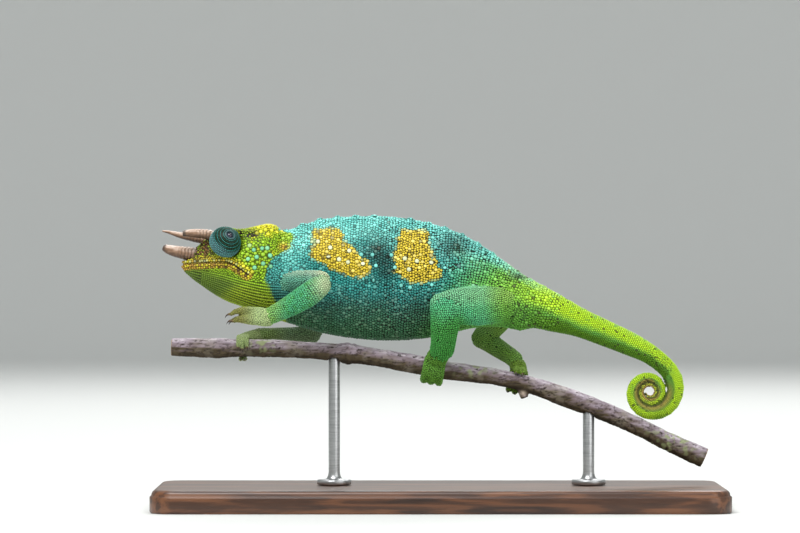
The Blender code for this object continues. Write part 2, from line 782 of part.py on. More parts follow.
def grip_pieces(foot, group):
    """Digits that wrap the perch on one side, with the palm."""
    spec = GRIPS[foot]
    count, reach = spec[group]
    middle, radius, way, up, palm_turn = grip_frame(foot)
    across = np.array([0.0, 1.0, 0.0])
    size = spec["digit"]
    ring = radius + size * 0.85
    wrist = np.array(spec["from"])
    crown = middle + (up * cos(palm_turn) + across * sin(palm_turn)) * (ring + size * 0.3)
    half = spec["palm"]
    pieces = [tube("palm", [(*wrist, half * 0.95, half * 0.9),
                            (*((wrist + crown) / 2), half * 1.05, half),
                            (*crown, half, half)],
                   sides=10, rings=5, across=(0, 1, 0), ends=(0, 2))]
    last = radians(reach if group == "back" else -reach)
    for i in range(count):
        aside = i - (count - 1) / 2
        end = palm_turn + (last - palm_turn) * (1 - 0.06 * abs(aside))
        stations = []
        for k in range(7):
            turn = palm_turn + (end - palm_turn) * k / 6
            lean = aside * spec["pitch"] * (0.8 + 0.2 * k / 6)
            place = middle + way * lean + (up * cos(turn) + across * sin(turn)) * ring
            thick = size * (1 - 0.2 * k / 6)
            stations.append((*place, thick, thick))
        pieces.append(tube("digit", stations, sides=6, rings=6, across=tuple(way), ends=(0, 1)))
        sense = 1 if last > 0 else -1
        outward = up * cos(end) + across * sin(end)
        ahead = (across * cos(end) - up * sin(end)) * sense
        tip = np.array(stations[-1][:3]) + ahead * size * 0.5
        pieces.append(claw("claw", tip, ahead, -0.5 * outward, radius=CLAW_RADIUS * size / 1.3,
                           length=CLAW_LENGTH * 0.8))
    return pieces


def grip_parting(foot, group):
    """A block that takes away the other group's half of a gripping palm."""
    middle, radius, way, up, palm_turn = grip_frame(foot)
    across = np.array([0.0, 1.0, 0.0])
    outward = up * cos(palm_turn) + across * sin(palm_turn)
    aside = (across * cos(palm_turn) - up * sin(palm_turn)) * (1 if group == "front" else -1)
    rings = []
    for reach in (0.5, 25.0):
        rings.append([middle + outward * reach + way * lean + aside * far
                      for lean, far in ((-14, -GAP / 2), (14, -GAP / 2), (14, 14), (-14, 14))])
    return loft("parting", rings)


def rod_pieces(x, grow=0.0):
    z, radius, _ = perch_row(x)
    low = BASE_HEIGHT + GAP
    top = z - radius + ROD_SINK
    profile = [
        (low, ROD_FOOT_RADIUS - 0.5 + grow),
        (low + 0.5, ROD_FOOT_RADIUS + grow),
        (low + ROD_FOOT_HEIGHT - 0.5, ROD_FOOT_RADIUS + grow),
        (low + ROD_FOOT_HEIGHT, ROD_FOOT_RADIUS - 0.5 + grow),
        (low + ROD_FOOT_HEIGHT + 0.1, ROD_RADIUS + 0.6 + grow),
        (low + ROD_FOOT_HEIGHT + 2.0, ROD_RADIUS + grow),
        (top + grow, ROD_RADIUS + grow),
    ]
    return [turned("rod", profile, (x, 0, 0), (0, 0, 1), 16)]


def base_block():
    shell = bmesh.new()
    corners = []
    for k in range(4):
        turn = pi / 2 * k
        sign_x = 1 if k in (0, 3) else -1
        sign_y = 1 if k in (0, 1) else -1
        for i in range(5):
            at = turn + pi / 2 * i / 4
            corners.append((sign_x * (BASE_LENGTH / 2 - BASE_CORNER) + BASE_CORNER * cos(at),
                            sign_y * (BASE_WIDTH / 2 - BASE_CORNER) + BASE_CORNER * sin(at)))
    face = shell.faces.new([shell.verts.new((x * MM, y * MM, 0)) for x, y in corners])
    raised = bmesh.ops.extrude_face_region(shell, geom=[face])
    lifted = [v for v in raised["geom"] if isinstance(v, bmesh.types.BMVert)]
    bmesh.ops.translate(shell, verts=lifted, vec=Vector((0, 0, BASE_HEIGHT * MM)))
    bmesh.ops.recalc_face_normals(shell, faces=shell.faces)
    rim = [e for e in shell.edges if all(abs(v.co.z - BASE_HEIGHT * MM) < 1e-6 for v in e.verts)]
    bmesh.ops.bevel(shell, geom=rim, offset=BASE_EDGE * MM, segments=2, profile=0.5, affect="EDGES")
    mesh = bpy.data.meshes.new("stand_base")
    shell.to_mesh(mesh)
    shell.free()
    obj = bpy.data.objects.new("stand_base", mesh)
    bpy.context.scene.collection.objects.link(obj)
    return obj


def limb_pieces(name, grow=0.0):
    return [tube(name, LIMBS[name], sides=10, rings=6, grow=grow, ends=(0 if "upper" in name else 2, 2))]


def head_surface_y(x, z):
    """Half width of the head at a height, read from its section there."""
    sections = BODY[:HEAD_SECTIONS]
    xs = [row[0] for row in sections]
    top, low, width = (float(np.interp(x, xs, [row[k] for row in sections])) for k in (1, 3, 4))
    rise = (z - (top + low) / 2) / ((top - low) / 2)
    return width * girth(rise, HEAD_KEEL, HEAD_POWER)


def lip(way):
    """The raised rim over (1) or under (-1) the mouth line, from one corner round to the other."""
    xs = np.linspace(LIP_REAR, LIP_FRONT, 9)
    left = []
    for x, z in zip(xs, np.interp(xs, [m[0] for m in MOUTH], [m[1] for m in MOUTH])):
        level = z + way * (LIP_RADIUS + LIP_CLEAR)
        aside = head_surface_y(max(x, LIP_WIDEST_X), level) - LIP_SINK
        left.append((x, -aside, level, LIP_RADIUS, LIP_RADIUS))
    nose = (LIP_FRONT - 0.1, 0.0, left[-1][2], LIP_RADIUS, LIP_RADIUS)
    right = [(x, -y, z, a, b) for x, y, z, a, b in reversed(left)]
    return tube("lip", left + [nose] + right, sides=6, rings=17, across=(0, 0, 1), ends=(1, 1))


def crest(line, side):
    points = [(x, side * (head_surface_y(x, z) - 0.15), z, CREST_RADIUS, CREST_RADIUS) for x, z in line]
    return tube("crest", points, sides=6, rings=6, across=(0, 0, 1), ends=(1, 1))


def make_head():
    for name, below in (("head", True), ("lower_jaw", False)):
        block = body_length(name, PARTING[0][1], PARTING[0][2], 22, 22)
        ridges = [lip(-1 if name == "lower_jaw" else 1)]
        if below:
            ridges += [crest(line, side) for side in (-1, 1) for line in (BROW_CREST, SNOUT_CREST)]
        block = joined(name, [block] + ridges)
        combine(block, [mouth_block("mouth", below)], "DIFFERENCE")
        keep_largest(block)
        if below:
            cutters = [turret("socket", side, GAP) for side in (-1, 1)]
            for one in cutters:
                combine(block, [one], "DIFFERENCE")
            for stations in (HORN_NOSE, HORN_BROW_LEFT, HORN_BROW_RIGHT):
                combine(block, [horn("root", stations, GAP)], "DIFFERENCE")
            for side in (-1, 1):
                y = head_surface_y(*NOSTRIL)
                hole = turned("nostril", [(-0.9, 0.15), (0.9, NOSTRIL_RADIUS * 1.6)],
                              (NOSTRIL[0], side * y, NOSTRIL[1]), (-0.2, side, 0.1), 8)
                combine(block, [hole], "DIFFERENCE")
            keep_largest(block)
        yield block


def make_eyes():
    for side, word in ((-1, "left"), (1, "right")):
        lid = turret(f"eye_turret_{word}", side)
        for stations in (HORN_BROW_LEFT, HORN_BROW_RIGHT):
            combine(lid, [horn("root", stations, GAP)], "DIFFERENCE")
        combine(lid, [eyeball("hole", side, GAP)], "DIFFERENCE")
        yield keep_largest(lid), eyeball(f"eyeball_{word}", side)


def body_nodes():
    sides = {"torso_front": 22, "torso_rear": 22, "neck": 22, "tail_root": 16}
    rings = {"torso_front": 9, "torso_rear": 11, "neck": 5, "tail_root": 7}
    for name, start, end in PARTING[1:]:
        length = body_length(name, start, end, sides.get(name, 14), rings.get(name, 8))
        yield joined(name, [length] + studs_of(start, end, row_step))
    for name, start, end, rings in COIL_PARTING:
        yield body_length(name, coil_place(start), coil_place(end), COIL_SIDES, rings)


def grown_limb(name):
    return limb_pieces(name, GAP)


def build():
    clear_scene()
    flesh = finish("skin", (0.10, 0.42, 0.16), 0.6)
    trunk = finish("flank", (0.05, 0.33, 0.38), 0.6)
    lid_skin = finish("eyelid", (0.12, 0.35, 0.25), 0.55)
    ball = finish("eye", (0.02, 0.01, 0.05), 0.1)
    keratin = finish("horn", (0.32, 0.18, 0.12), 0.5)
    bark = finish("bark", (0.22, 0.17, 0.15), 0.85)
    wood = finish("stand_wood", (0.12, 0.06, 0.03), 0.4)
    steel = finish("stand_rod", (0.55, 0.56, 0.58), 0.3, 1.0)

    nodes = {}
    for obj in make_head():
        nodes[obj.name] = shade(obj, flesh)
    for lid, pupil in make_eyes():
        nodes[lid.name] = shade(lid, lid_skin)
        nodes[pupil.name] = shade(pupil, ball)
    for name, stations in (("horn_nose", HORN_NOSE), ("horn_brow_left", HORN_BROW_LEFT),
                           ("horn_brow_right", HORN_BROW_RIGHT)):
        nodes[name] = shade(horn(name, stations), keratin)
    for obj in body_nodes():
        nodes[obj.name] = shade(obj, trunk if "torso" in obj.name or obj.name == "neck" else flesh)

    for name in LIMBS:
        limb = limb_pieces(name)[0]
        limb.name = name
        nodes[name] = limb
    for side in ("arm_left", "arm_right", "leg_left", "leg_right"):
        upper, lower = nodes[side + "_upper"], nodes[side + "_lower"]
        combine(upper, grown_limb(side + "_lower"), "DIFFERENCE")
        shade(keep_largest(upper), flesh)
        shade(lower, flesh)
    for name in ("neck", "torso_front", "torso_rear", "tail_root"):
        for limb in LIMBS:
            near = "arm" in limb if name in ("neck", "torso_front") else "leg" in limb
            if near:
                combine(nodes[name], grown_limb(limb), "DIFFERENCE")
        keep_largest(nodes[name])

    bundles = {}
    for which, word in (("upper", "outer"), ("lower", "inner")):
        bundles["arm_left_hand_" + word] = ("hand", which, "arm_left")
    for foot in GRIPS:
        words = LEFT_FOOT_NAMES if foot == "leg_left" else FOOT_NAMES
        for group in ("front", "back"):
            kind = "hand" if "arm" in foot else "foot"
            bundles[f"{foot}_{kind}_{words[group]}"] = ("grip", group, foot)
    for name, (kind, group, limb) in bundles.items():
        pieces = hand_pieces(group) if kind == "hand" else grip_pieces(limb, group)
        bundle = joined(name, pieces)
        combine(bundle, [hand_parting(group) if kind == "hand" else grip_parting(limb, group)], "DIFFERENCE")
        combine(bundle, grown_limb(limb + "_lower"), "DIFFERENCE")
        if kind == "grip":
            for bough in perch_pieces(GAP):
                combine(bundle, [bough], "DIFFERENCE")
        nodes[name] = shade(keep_largest(bundle), flesh)

    perch = joined("perch", perch_pieces())
    for x in (ROD_FRONT_X, ROD_REAR_X):
        combine(perch, rod_pieces(x, GAP), "DIFFERENCE")
    shade(keep_largest(perch), bark)
    for name, x in (("stand_rod_front", ROD_FRONT_X), ("stand_rod_rear", ROD_REAR_X)):
        rod = rod_pieces(x)[0]
        rod.name = name
        shade(rod, steel)
    shade(base_block(), wood)


build()
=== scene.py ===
import json
from math import acos, asin, cos, pi, radians, sin, tau

import bmesh
import bpy
import numpy as np
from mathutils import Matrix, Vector, noise
from mathutils.bvhtree import BVHTree


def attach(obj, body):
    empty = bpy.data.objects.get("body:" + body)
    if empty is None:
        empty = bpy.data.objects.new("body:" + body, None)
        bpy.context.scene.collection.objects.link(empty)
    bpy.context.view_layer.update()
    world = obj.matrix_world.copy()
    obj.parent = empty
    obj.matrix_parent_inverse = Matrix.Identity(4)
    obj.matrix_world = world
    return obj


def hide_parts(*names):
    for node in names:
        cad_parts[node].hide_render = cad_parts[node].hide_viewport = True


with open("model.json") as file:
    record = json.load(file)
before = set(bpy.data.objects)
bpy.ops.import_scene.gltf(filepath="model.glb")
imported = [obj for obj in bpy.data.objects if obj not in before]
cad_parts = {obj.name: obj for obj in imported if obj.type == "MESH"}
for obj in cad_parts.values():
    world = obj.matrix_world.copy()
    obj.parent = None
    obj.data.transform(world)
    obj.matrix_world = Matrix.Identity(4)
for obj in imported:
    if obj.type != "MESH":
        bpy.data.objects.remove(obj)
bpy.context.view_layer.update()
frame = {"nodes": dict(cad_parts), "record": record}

# Skin
# The animal's hide is one closed sheet from lips to tail tip. It is made from the solids of the
# flesh, run together over their partings and drawn in by the depth of the scales that cover it.
MM = 0.001
SCALE_DEPTH = 0.26
FINE_DEPTH = 0.12
FINE_PARTS = ("tail_coil", "arm_left_hand", "arm_right_hand", "leg_left_foot", "leg_right_foot")
THIN_SHARE = 0.12
THICKEST = 12.0
RAY_START = 0.05
WELD = 0.002
PARTING_REACH = 0.36
PARTING_GAP = 0.42
PARTING_FACING = -0.6
COIL_GAP = 0.62
SKIN_VOXEL = 0.48
MOUTH_CORNER_X = -67.5
TURRET = "eye_turret"

flesh = [row["node"] for row in frame["record"]["subparts"]
         if row["material_slot"] == "skin" and not row["node"].startswith(TURRET)]


def table(items, key, width=3, kind=float):
    """One property of all corners, edges or faces of a mesh, a row for each."""
    flat = np.empty(len(items) * width, kind)
    items.foreach_get(key, flat)
    return flat.reshape(-1, width)


def spots_of(mesh):
    """Corner places in millimetres."""
    return table(mesh.vertices, "co") / MM


def mesh_from(work, name):
    mesh = bpy.data.meshes.new(name)
    work.to_mesh(mesh)
    work.free()
    return mesh


def joined_node(node):
    """A CAD node's corners and triangles with its loose triangles joined."""
    work = bmesh.new()
    work.from_mesh(frame["nodes"][node].data)
    bmesh.ops.remove_doubles(work, verts=work.verts, dist=WELD * MM)
    mesh = mesh_from(work, node + "_joined")
    mesh.calc_loop_triangles()
    spots, triangles = spots_of(mesh), table(mesh.loop_triangles, "vertices", kind=int)
    bpy.data.meshes.remove(mesh)
    return spots, triangles


def face_normals(spots, triangles):
    """Area-weighted normals of triangles."""
    a, b, c = (spots[triangles[:, k]] for k in range(3))
    return np.cross(b - a, c - a)


def unit(rows):
    return rows / np.maximum(np.linalg.norm(rows, axis=1, keepdims=True), 1e-9)


def gathered(count, index, rows):
    """Sums rows onto the corners named by index."""
    return np.stack([np.bincount(index, rows[:, k], count) for k in range(rows.shape[1])], 1)


def tree_of(spots, triangles):
    return BVHTree.FromPolygons(spots.tolist(), triangles.tolist())


def on_parting(node, centre, normal, trees):
    """True where a face meets the next node, or the coil's next turn, over a thin gap."""
    reach = COIL_GAP if node.startswith("tail_coil") else PARTING_GAP
    for other, tree in trees.items():
        if other == node:
            continue
        if centre[0] < MOUTH_CORNER_X and {node, other} == {"head", "lower_jaw"}:
            continue
        hit, facing, _, _ = tree.find_nearest(centre, reach)
        if hit is not None and facing.dot(normal) < PARTING_FACING:
            return True
    return False


def drawn_in(node, solids, trees):
    """A node's corners moved in by the depth of its scales, and out across its partings."""
    spots, triangles = solids[node]
    normals = face_normals(spots, triangles)
    facing = unit(normals)
    centres = spots[triangles].mean(axis=1)
    near = {other: tree for other, tree in trees.items()
            if np.all(solids[other][0].min(0) < spots.max(0) + 1) and
            np.all(solids[other][0].max(0) > spots.min(0) - 1)}
    cap = np.array([on_parting(node, Vector(c), Vector(n), near) for c, n in zip(centres, facing)])
    count = len(spots)
    side_rows = np.repeat(normals * ~cap[:, None], 3, axis=0)
    cap_rows = np.repeat(normals * cap[:, None], 3, axis=0)
    side = unit(gathered(count, triangles.ravel(), side_rows))
    across = unit(gathered(count, triangles.ravel(), cap_rows))
    full = FINE_DEPTH if node.startswith(FINE_PARTS) else SCALE_DEPTH
    depth = np.full(count, full)
    for i in range(count):
        inward = Vector(-side[i])
        hit = trees[node].ray_cast(Vector(spots[i]) + inward * RAY_START, inward, THICKEST)
        if hit[3] is not None:
            depth[i] = min(full, THIN_SHARE * hit[3])
    return spots - side * depth[:, None] + across * PARTING_REACH, triangles


def plain_object(name, data):
    obj = bpy.data.objects.new(name, data)
    bpy.context.scene.collection.objects.link(obj)
    return obj


def evaluated(obj, name):
    """A plain mesh of what an object's modifiers make of it."""
    graph = bpy.context.evaluated_depsgraph_get()
    mesh = bpy.data.meshes.new_from_object(obj.evaluated_get(graph), depsgraph=graph)
    mesh.name = name
    return mesh


def remeshed(name, spots, triangles, voxel):
    """One closed sheet of even small faces round some solids."""
    mesh = bpy.data.meshes.new(name + "_core")
    mesh.from_pydata((spots * MM).tolist(), [], triangles.tolist())
    core = plain_object(name + "_core", mesh)
    remesh = core.modifiers.new("one sheet", "REMESH")
    remesh.mode = "VOXEL"
    remesh.voxel_size = voxel * MM
    sheet = evaluated(core, name)
    bpy.data.objects.remove(core)
    return sheet


def voxel_skin():
    solids = {node: joined_node(node) for node in flesh}
    trees = {node: tree_of(*solids[node]) for node in flesh}
    spots, triangles, start = [], [], 0
    for node in flesh:
        moved, corners = drawn_in(node, solids, trees)
        spots.append(moved)
        triangles.append(corners + start)
        start += len(moved)
    return remeshed("skin", np.concatenate(spots), np.concatenate(triangles), SKIN_VOXEL), solids


def largest_sheet(mesh):
    """Leaves only the outer sheet: small closed hollows inside it go."""
    work = bmesh.new()
    work.from_mesh(mesh)
    work.verts.ensure_lookup_table()
    sheet_of = np.full(len(work.verts), -1)
    sheets = 0
    for first in work.verts:
        if sheet_of[first.index] >= 0:
            continue
        front = [first]
        sheet_of[first.index] = sheets
        while front:
            for edge in front.pop().link_edges:
                for other in edge.verts:
                    if sheet_of[other.index] < 0:
                        sheet_of[other.index] = sheets
                        front.append(other)
        sheets += 1
    keep = np.bincount(sheet_of).argmax()
    loose = [v for v in work.verts if sheet_of[v.index] != keep]
    bmesh.ops.delete(work, geom=loose, context="VERTS")
    work.to_mesh(mesh)
    work.free()


def set_spots(mesh, spots):
    mesh.vertices.foreach_set("co", (spots * MM).ravel())
    mesh.update()


PULLS = (0.5, -0.53)


def smoothed(spots, ends, share, rounds):
    """Evens out the facets without shrinking: each corner is pulled to its neighbours, then back."""
    near = np.bincount(ends.ravel(), minlength=len(spots))[:, None]
    both = np.concatenate([ends, ends[:, ::-1]])
    for _ in range(rounds):
        for pull in PULLS:
            middle = gathered(len(spots), both[:, 0], spots[both[:, 1]]) / near
            spots = spots + share[:, None] * pull * (middle - spots)
    return spots


def step(value, low, high):
    """0 below low, 1 above high, and a smooth rise between."""
    t = np.clip((value - low) / (high - low), 0, 1)
    return t * t * (3 - 2 * t)


def nearest_node(spots):
    """The place in flesh of the CAD node nearest to each spot."""
    corners, faces, owner, start = [], [], [], 0
    for i, node in enumerate(flesh):
        own, triangles = solids[node]
        corners += own.tolist()
        faces += (triangles + start).tolist()
        owner += [i] * len(triangles)
        start += len(own)
    tree = BVHTree.FromPolygons(corners, faces)
    return np.array([owner[tree.find_nearest(s)[2]] for s in spots.tolist()])


def among(owner, *starts):
    """True for the corners that belong to nodes whose names begin so."""
    wanted = [i for i, node in enumerate(flesh) if node.startswith(starts)]
    return np.isin(owner, wanted)


def from_line(x, z, line):
    """Distance from a broken line in the side view."""
    best = np.full(len(x), 1e9)
    for (x0, z0), (x1, z1) in zip(line, line[1:]):
        length = (x1 - x0) ** 2 + (z1 - z0) ** 2
        t = np.clip(((x - x0) * (x1 - x0) + (z - z0) * (z1 - z0)) / length, 0, 1)
        best = np.minimum(best, np.hypot(x - x0 - t * (x1 - x0), z - z0 - t * (z1 - z0)))
    return best


MOUTH_LINE = [(-90.4, 85.3), (-86.8, 85.7), (-82.2, 85.9), (-77.7, 86.1), (-74.5, 86.1),
              (-71.8, 85.2), (-69.4, 83.6), (-67.2, 81.9)]
SHOULDER_FOLD = [(-55.6, 94.0), (-58.0, 88.0), (-60.4, 81.0), (-59.4, 74.0), (-56.0, 68.5)]
THROAT_FOLD = [(-70.0, 79.0), (-64.5, 76.6), (-60.4, 74.4)]
MOUTH_DEPTH, MOUTH_DEPTH_REAR, MOUTH_WIDE = 0.3, 0.5, 0.42
THROAT_DEPTH, THROAT_WIDE = 0.35, 0.7
SHOULDER_DEPTH, SHOULDER_WIDE = 0.3, 0.8
SOCKET_DEPTH, SOCKET_WIDE, SOCKET_GAP = 0.35, 0.45, 0.4
EYE = (-75.0, 6.3, 93.0)
EYE_AIM = (0.38, 0.76, 0.52)
EYE_RADIUS = 5.6
JOINT_REACH = 9
JOINT_FADE = 0.84
JOINT_ROUNDS = 40
JOINT_PULL = 0.6
EVEN_ROUNDS = 30
EVEN_LIMBS, EVEN_TRUNK, EVEN_HEAD, EVEN_FINE = 0.35, 1.0, 0.3, 0.12


def relief(spots, owner):
    """How deep the folds and creases lie at each corner of the skin, as negative heights."""
    x, y, z = spots.T
    head = among(owner, "head", "lower_jaw", "neck")
    mouth = MOUTH_DEPTH + (MOUTH_DEPTH_REAR - MOUTH_DEPTH) * step(x, -76, -71)
    rise = -mouth * head * np.exp(-(from_line(x, z, MOUTH_LINE) / MOUTH_WIDE) ** 2)
    rise -= THROAT_DEPTH * head * np.exp(-(from_line(x, z, THROAT_FOLD) / THROAT_WIDE) ** 2)
    trunk = among(owner, "head", "neck", "torso")
    rise -= SHOULDER_DEPTH * trunk * np.exp(-(from_line(x, z, SHOULDER_FOLD) / SHOULDER_WIDE) ** 2)
    away = np.sqrt((x - EYE[0]) ** 2 + (np.abs(y) - EYE[1]) ** 2 + (z - EYE[2]) ** 2)
    rise -= SOCKET_DEPTH * head * np.exp(-((away - EYE_RADIUS - SOCKET_GAP) / SOCKET_WIDE) ** 2)
    return rise


def joints_filled(spots, ends, owner):
    """Softens the creases where the limbs leave the trunk, so that the flesh runs on."""
    limb = among(owner, "arm_left_upper", "arm_right_upper", "leg_left_upper", "leg_right_upper")
    seam = limb[ends[:, 0]] != limb[ends[:, 1]]
    trunk_end = among(owner, "torso", "neck", "tail_root")
    seam &= trunk_end[ends[:, 0]] | trunk_end[ends[:, 1]]
    soft = np.zeros(len(spots))
    soft[ends[seam].ravel()] = 1
    near = np.bincount(ends.ravel(), minlength=len(spots))
    both = np.concatenate([ends, ends[:, ::-1]])
    for _ in range(JOINT_REACH):
        spread = np.zeros(len(spots))
        np.maximum.at(spread, both[:, 0], soft[both[:, 1]])
        soft = np.maximum(soft, JOINT_FADE * spread)
    for _ in range(JOINT_ROUNDS):
        middle = gathered(len(spots), both[:, 0], spots[both[:, 1]]) / near[:, None]
        spots = spots + JOINT_PULL * soft[:, None] * (middle - spots)
    return spots


skin_mesh, solids = voxel_skin()
largest_sheet(skin_mesh)
skin_spots = spots_of(skin_mesh)
skin_owner = nearest_node(skin_spots)
broad_parts = among(skin_owner, "torso", "tail_root", "tail_upper", "leg_left_upper")
even = np.where(broad_parts, EVEN_TRUNK, EVEN_LIMBS)
even[among(skin_owner, "head", "lower_jaw")] = EVEN_HEAD
even[among(skin_owner, *FINE_PARTS)] = EVEN_FINE
skin_ends = table(skin_mesh.edges, "vertices", 2, int)
skin_spots = smoothed(skin_spots, skin_ends, even, EVEN_ROUNDS)
skin_spots = joints_filled(skin_spots, skin_ends, skin_owner)
set_spots(skin_mesh, skin_spots)
skin_spots = skin_spots + table(skin_mesh.vertices, "normal") * relief(skin_spots, skin_owner)[:, None]
set_spots(skin_mesh, skin_spots)

# Markings
# The hide's colours are a few pigments laid one over the next. Each pigment has its own patch of
# the body with soft, broken edges, and skin and scales take them from the same places. Some patches
# are painted light: painted shade low on the front of the trunk, in the hip folds, where the coil's
# turns touch and partly on the far limbs, and painted highlights along the tops of the near upper arm
# and thigh.
PIGMENTS = [
    ("teal", "#2b9a94"),
    ("turquoise", "#86ebdf"),
    ("night", "#062f28"),
    ("moss", "#3a6a38"),
    ("leaf", "#66b84a"),
    ("lime", "#c6f01a"),
    ("grass", "#5a9008"),
    ("sand", "#b89c4c"),
    ("jade", "#62cf9c"),
    ("fern", "#3f9c1e"),
    ("cream", "#d8e2b4"),
    ("apple", "#98c41c"),
    ("olive", "#4f681c"),
    ("yellow", "#f2e81e"),
    ("amber", "#d8a83a"),
    ("ochre", "#e6c92c"),
    ("tan", "#8a6436"),
    ("umber", "#2e2110"),
    ("ink", "#07181a"),
    ("pine", "#153a18"),
    ("slate", "#6f9ca2"),
    ("pearl", "#e6efd0"),
]
BACK_LINE = [(-92, 86), (-80, 96), (-60, 99.6), (-50, 98.6), (-29, 102), (-3, 99.8), (16, 91), (31, 81),
             (51, 69.6), (76, 56)]
BELLY_LINE = [(-92, 83), (-80, 75), (-60, 66), (-41, 61), (-18, 58.5), (4, 61), (22, 63), (36, 62.5),
              (56, 57), (76, 50)]
HEAD_EDGE = [(60, -52), (69, -55), (74.6, -58.3), (80, -60.2), (85.5, -59.8), (88.6, -56), (91, -52.7),
             (96, -51.8), (97.4, -56), (104, -57)]
BLOTCH_FRONT = [(-44.8, 97.7), (-34.6, 98.1), (-33.6, 95), (-31.1, 90.9), (-24.8, 85.5), (-24.3, 83),
                (-27.4, 80.6), (-33.6, 82), (-40.4, 84.8), (-46.2, 88.6), (-44.8, 92.8)]
BLOTCH_REAR = [(-14.5, 97.7), (-5.6, 97.2), (-3.8, 93.2), (-2.8, 88), (0.3, 83), (-0.7, 80.2),
               (-4.5, 78.9), (-10.5, 79.3), (-15, 81.6), (-16.3, 88), (-15, 93.2)]
PALE_SHOULDER = (-53, 84, 7, 12)
DARK_PATCHES = [(0.72, (-22, 89.5, 8, 7)), (0.75, (5, 91.5, 6.5, 5)), (0.5, (-19, 82, 4, 6))]
COIL_FOOT = (77, 30, 4, 3.5)
ELBOW = (-40, 78.5, 4, 5)
HIP = (22, 74, 6, 7)
CASQUE_LUMP = (-60.5, 98.6, 5.2, 2.4)
NECK_SPOT = (-54.6, 91.4, 1.8, 1.4)
SNOUT = (-83.6, 91.2, 4.4, 4.2)
BROW = [(-69.5, 96.4, 3.4, 1.7), (-66, 95.6, 3, 1.2)]
TAIL_ROOT_SPOT = (27.5, 81, 3.4, 1.1)
TAIL_SPOT = (58, 55.6, 3, 1.2)
PATCH_LENGTH, FLECK_LENGTH = 5.0, 1.6
TAIL_FROM = 52.0
TAIL_LEAN = 0.88
TAIL_LINE = [(41.1, 68), (49, 64.9), (57.8, 61.2), (67, 57.2), (73.8, 53.6), (80, 48.6)]
TAIL_HALF = [(41, 7.0), (55, 5.4), (66, 4.3), (80, 3.4)]
COIL_X = 73.4
COIL_Z = 40.8
COIL_RADIUS = 9.03
COIL_SHRINK = 0.1204
COIL_THICK = 0.7
COIL_THIN = 0.36
COIL_START = radians(-50)
COIL_END = radians(905)


def broken(spots, size, seed):
    """Smooth wandering between -1 and 1 over lengths of about size."""
    shift = Vector((seed * 7.3, seed * 3.1, seed * 5.7))
    return np.array([noise.noise(Vector(s) / size + shift) for s in spots.tolist()])


def inside(x, z, outline, soft):
    """1 inside an outline in the side view and 0 outside, with a soft edge."""
    closed = outline + outline[:1]
    away = from_line(x, z, closed)
    within = np.zeros(len(x), bool)
    for (x0, z0), (x1, z1) in zip(closed, closed[1:]):
        crosses = (z0 > z) != (z1 > z)
        at = x0 + (z - z0) * (x1 - x0) / ((z1 - z0) or 1e-9)
        within ^= crosses & (x < at)
    return step(np.where(within, away, -away), -soft, soft)


def lobe(x, z, middle_x, middle_z, wide, high):
    """A soft oval patch in the side view."""
    return np.exp(-((x - middle_x) / wide) ** 2 - ((z - middle_z) / high) ** 2)


def tail_height(x, z, high, on_coil):
    """0 at the underside and 1 at the top of the tail, counted round its rolled end."""
    from_middle = np.hypot(x - COIL_X, z - COIL_Z)
    angle = np.arctan2(COIL_Z - z, x - COIL_X) % tau
    laps = (np.log(COIL_RADIUS / np.maximum(from_middle, 0.3)) / COIL_SHRINK - angle) / tau
    middle = COIL_RADIUS * np.exp(-COIL_SHRINK * (angle + tau * np.clip(np.round(laps), -1, 3)))
    rolled = np.clip((from_middle - middle) / (COIL_THICK * middle - COIL_THIN) + 0.5, 0, 1)
    line_x, line_z = zip(*TAIL_LINE)
    above = (z - np.interp(x, line_x, line_z)) * TAIL_LEAN
    straight = np.clip(0.5 + above / (2 * np.interp(x, *zip(*TAIL_HALF))), 0, 1)
    return np.where(on_coil, rolled, np.where(x > TAIL_FROM, straight, high)), middle


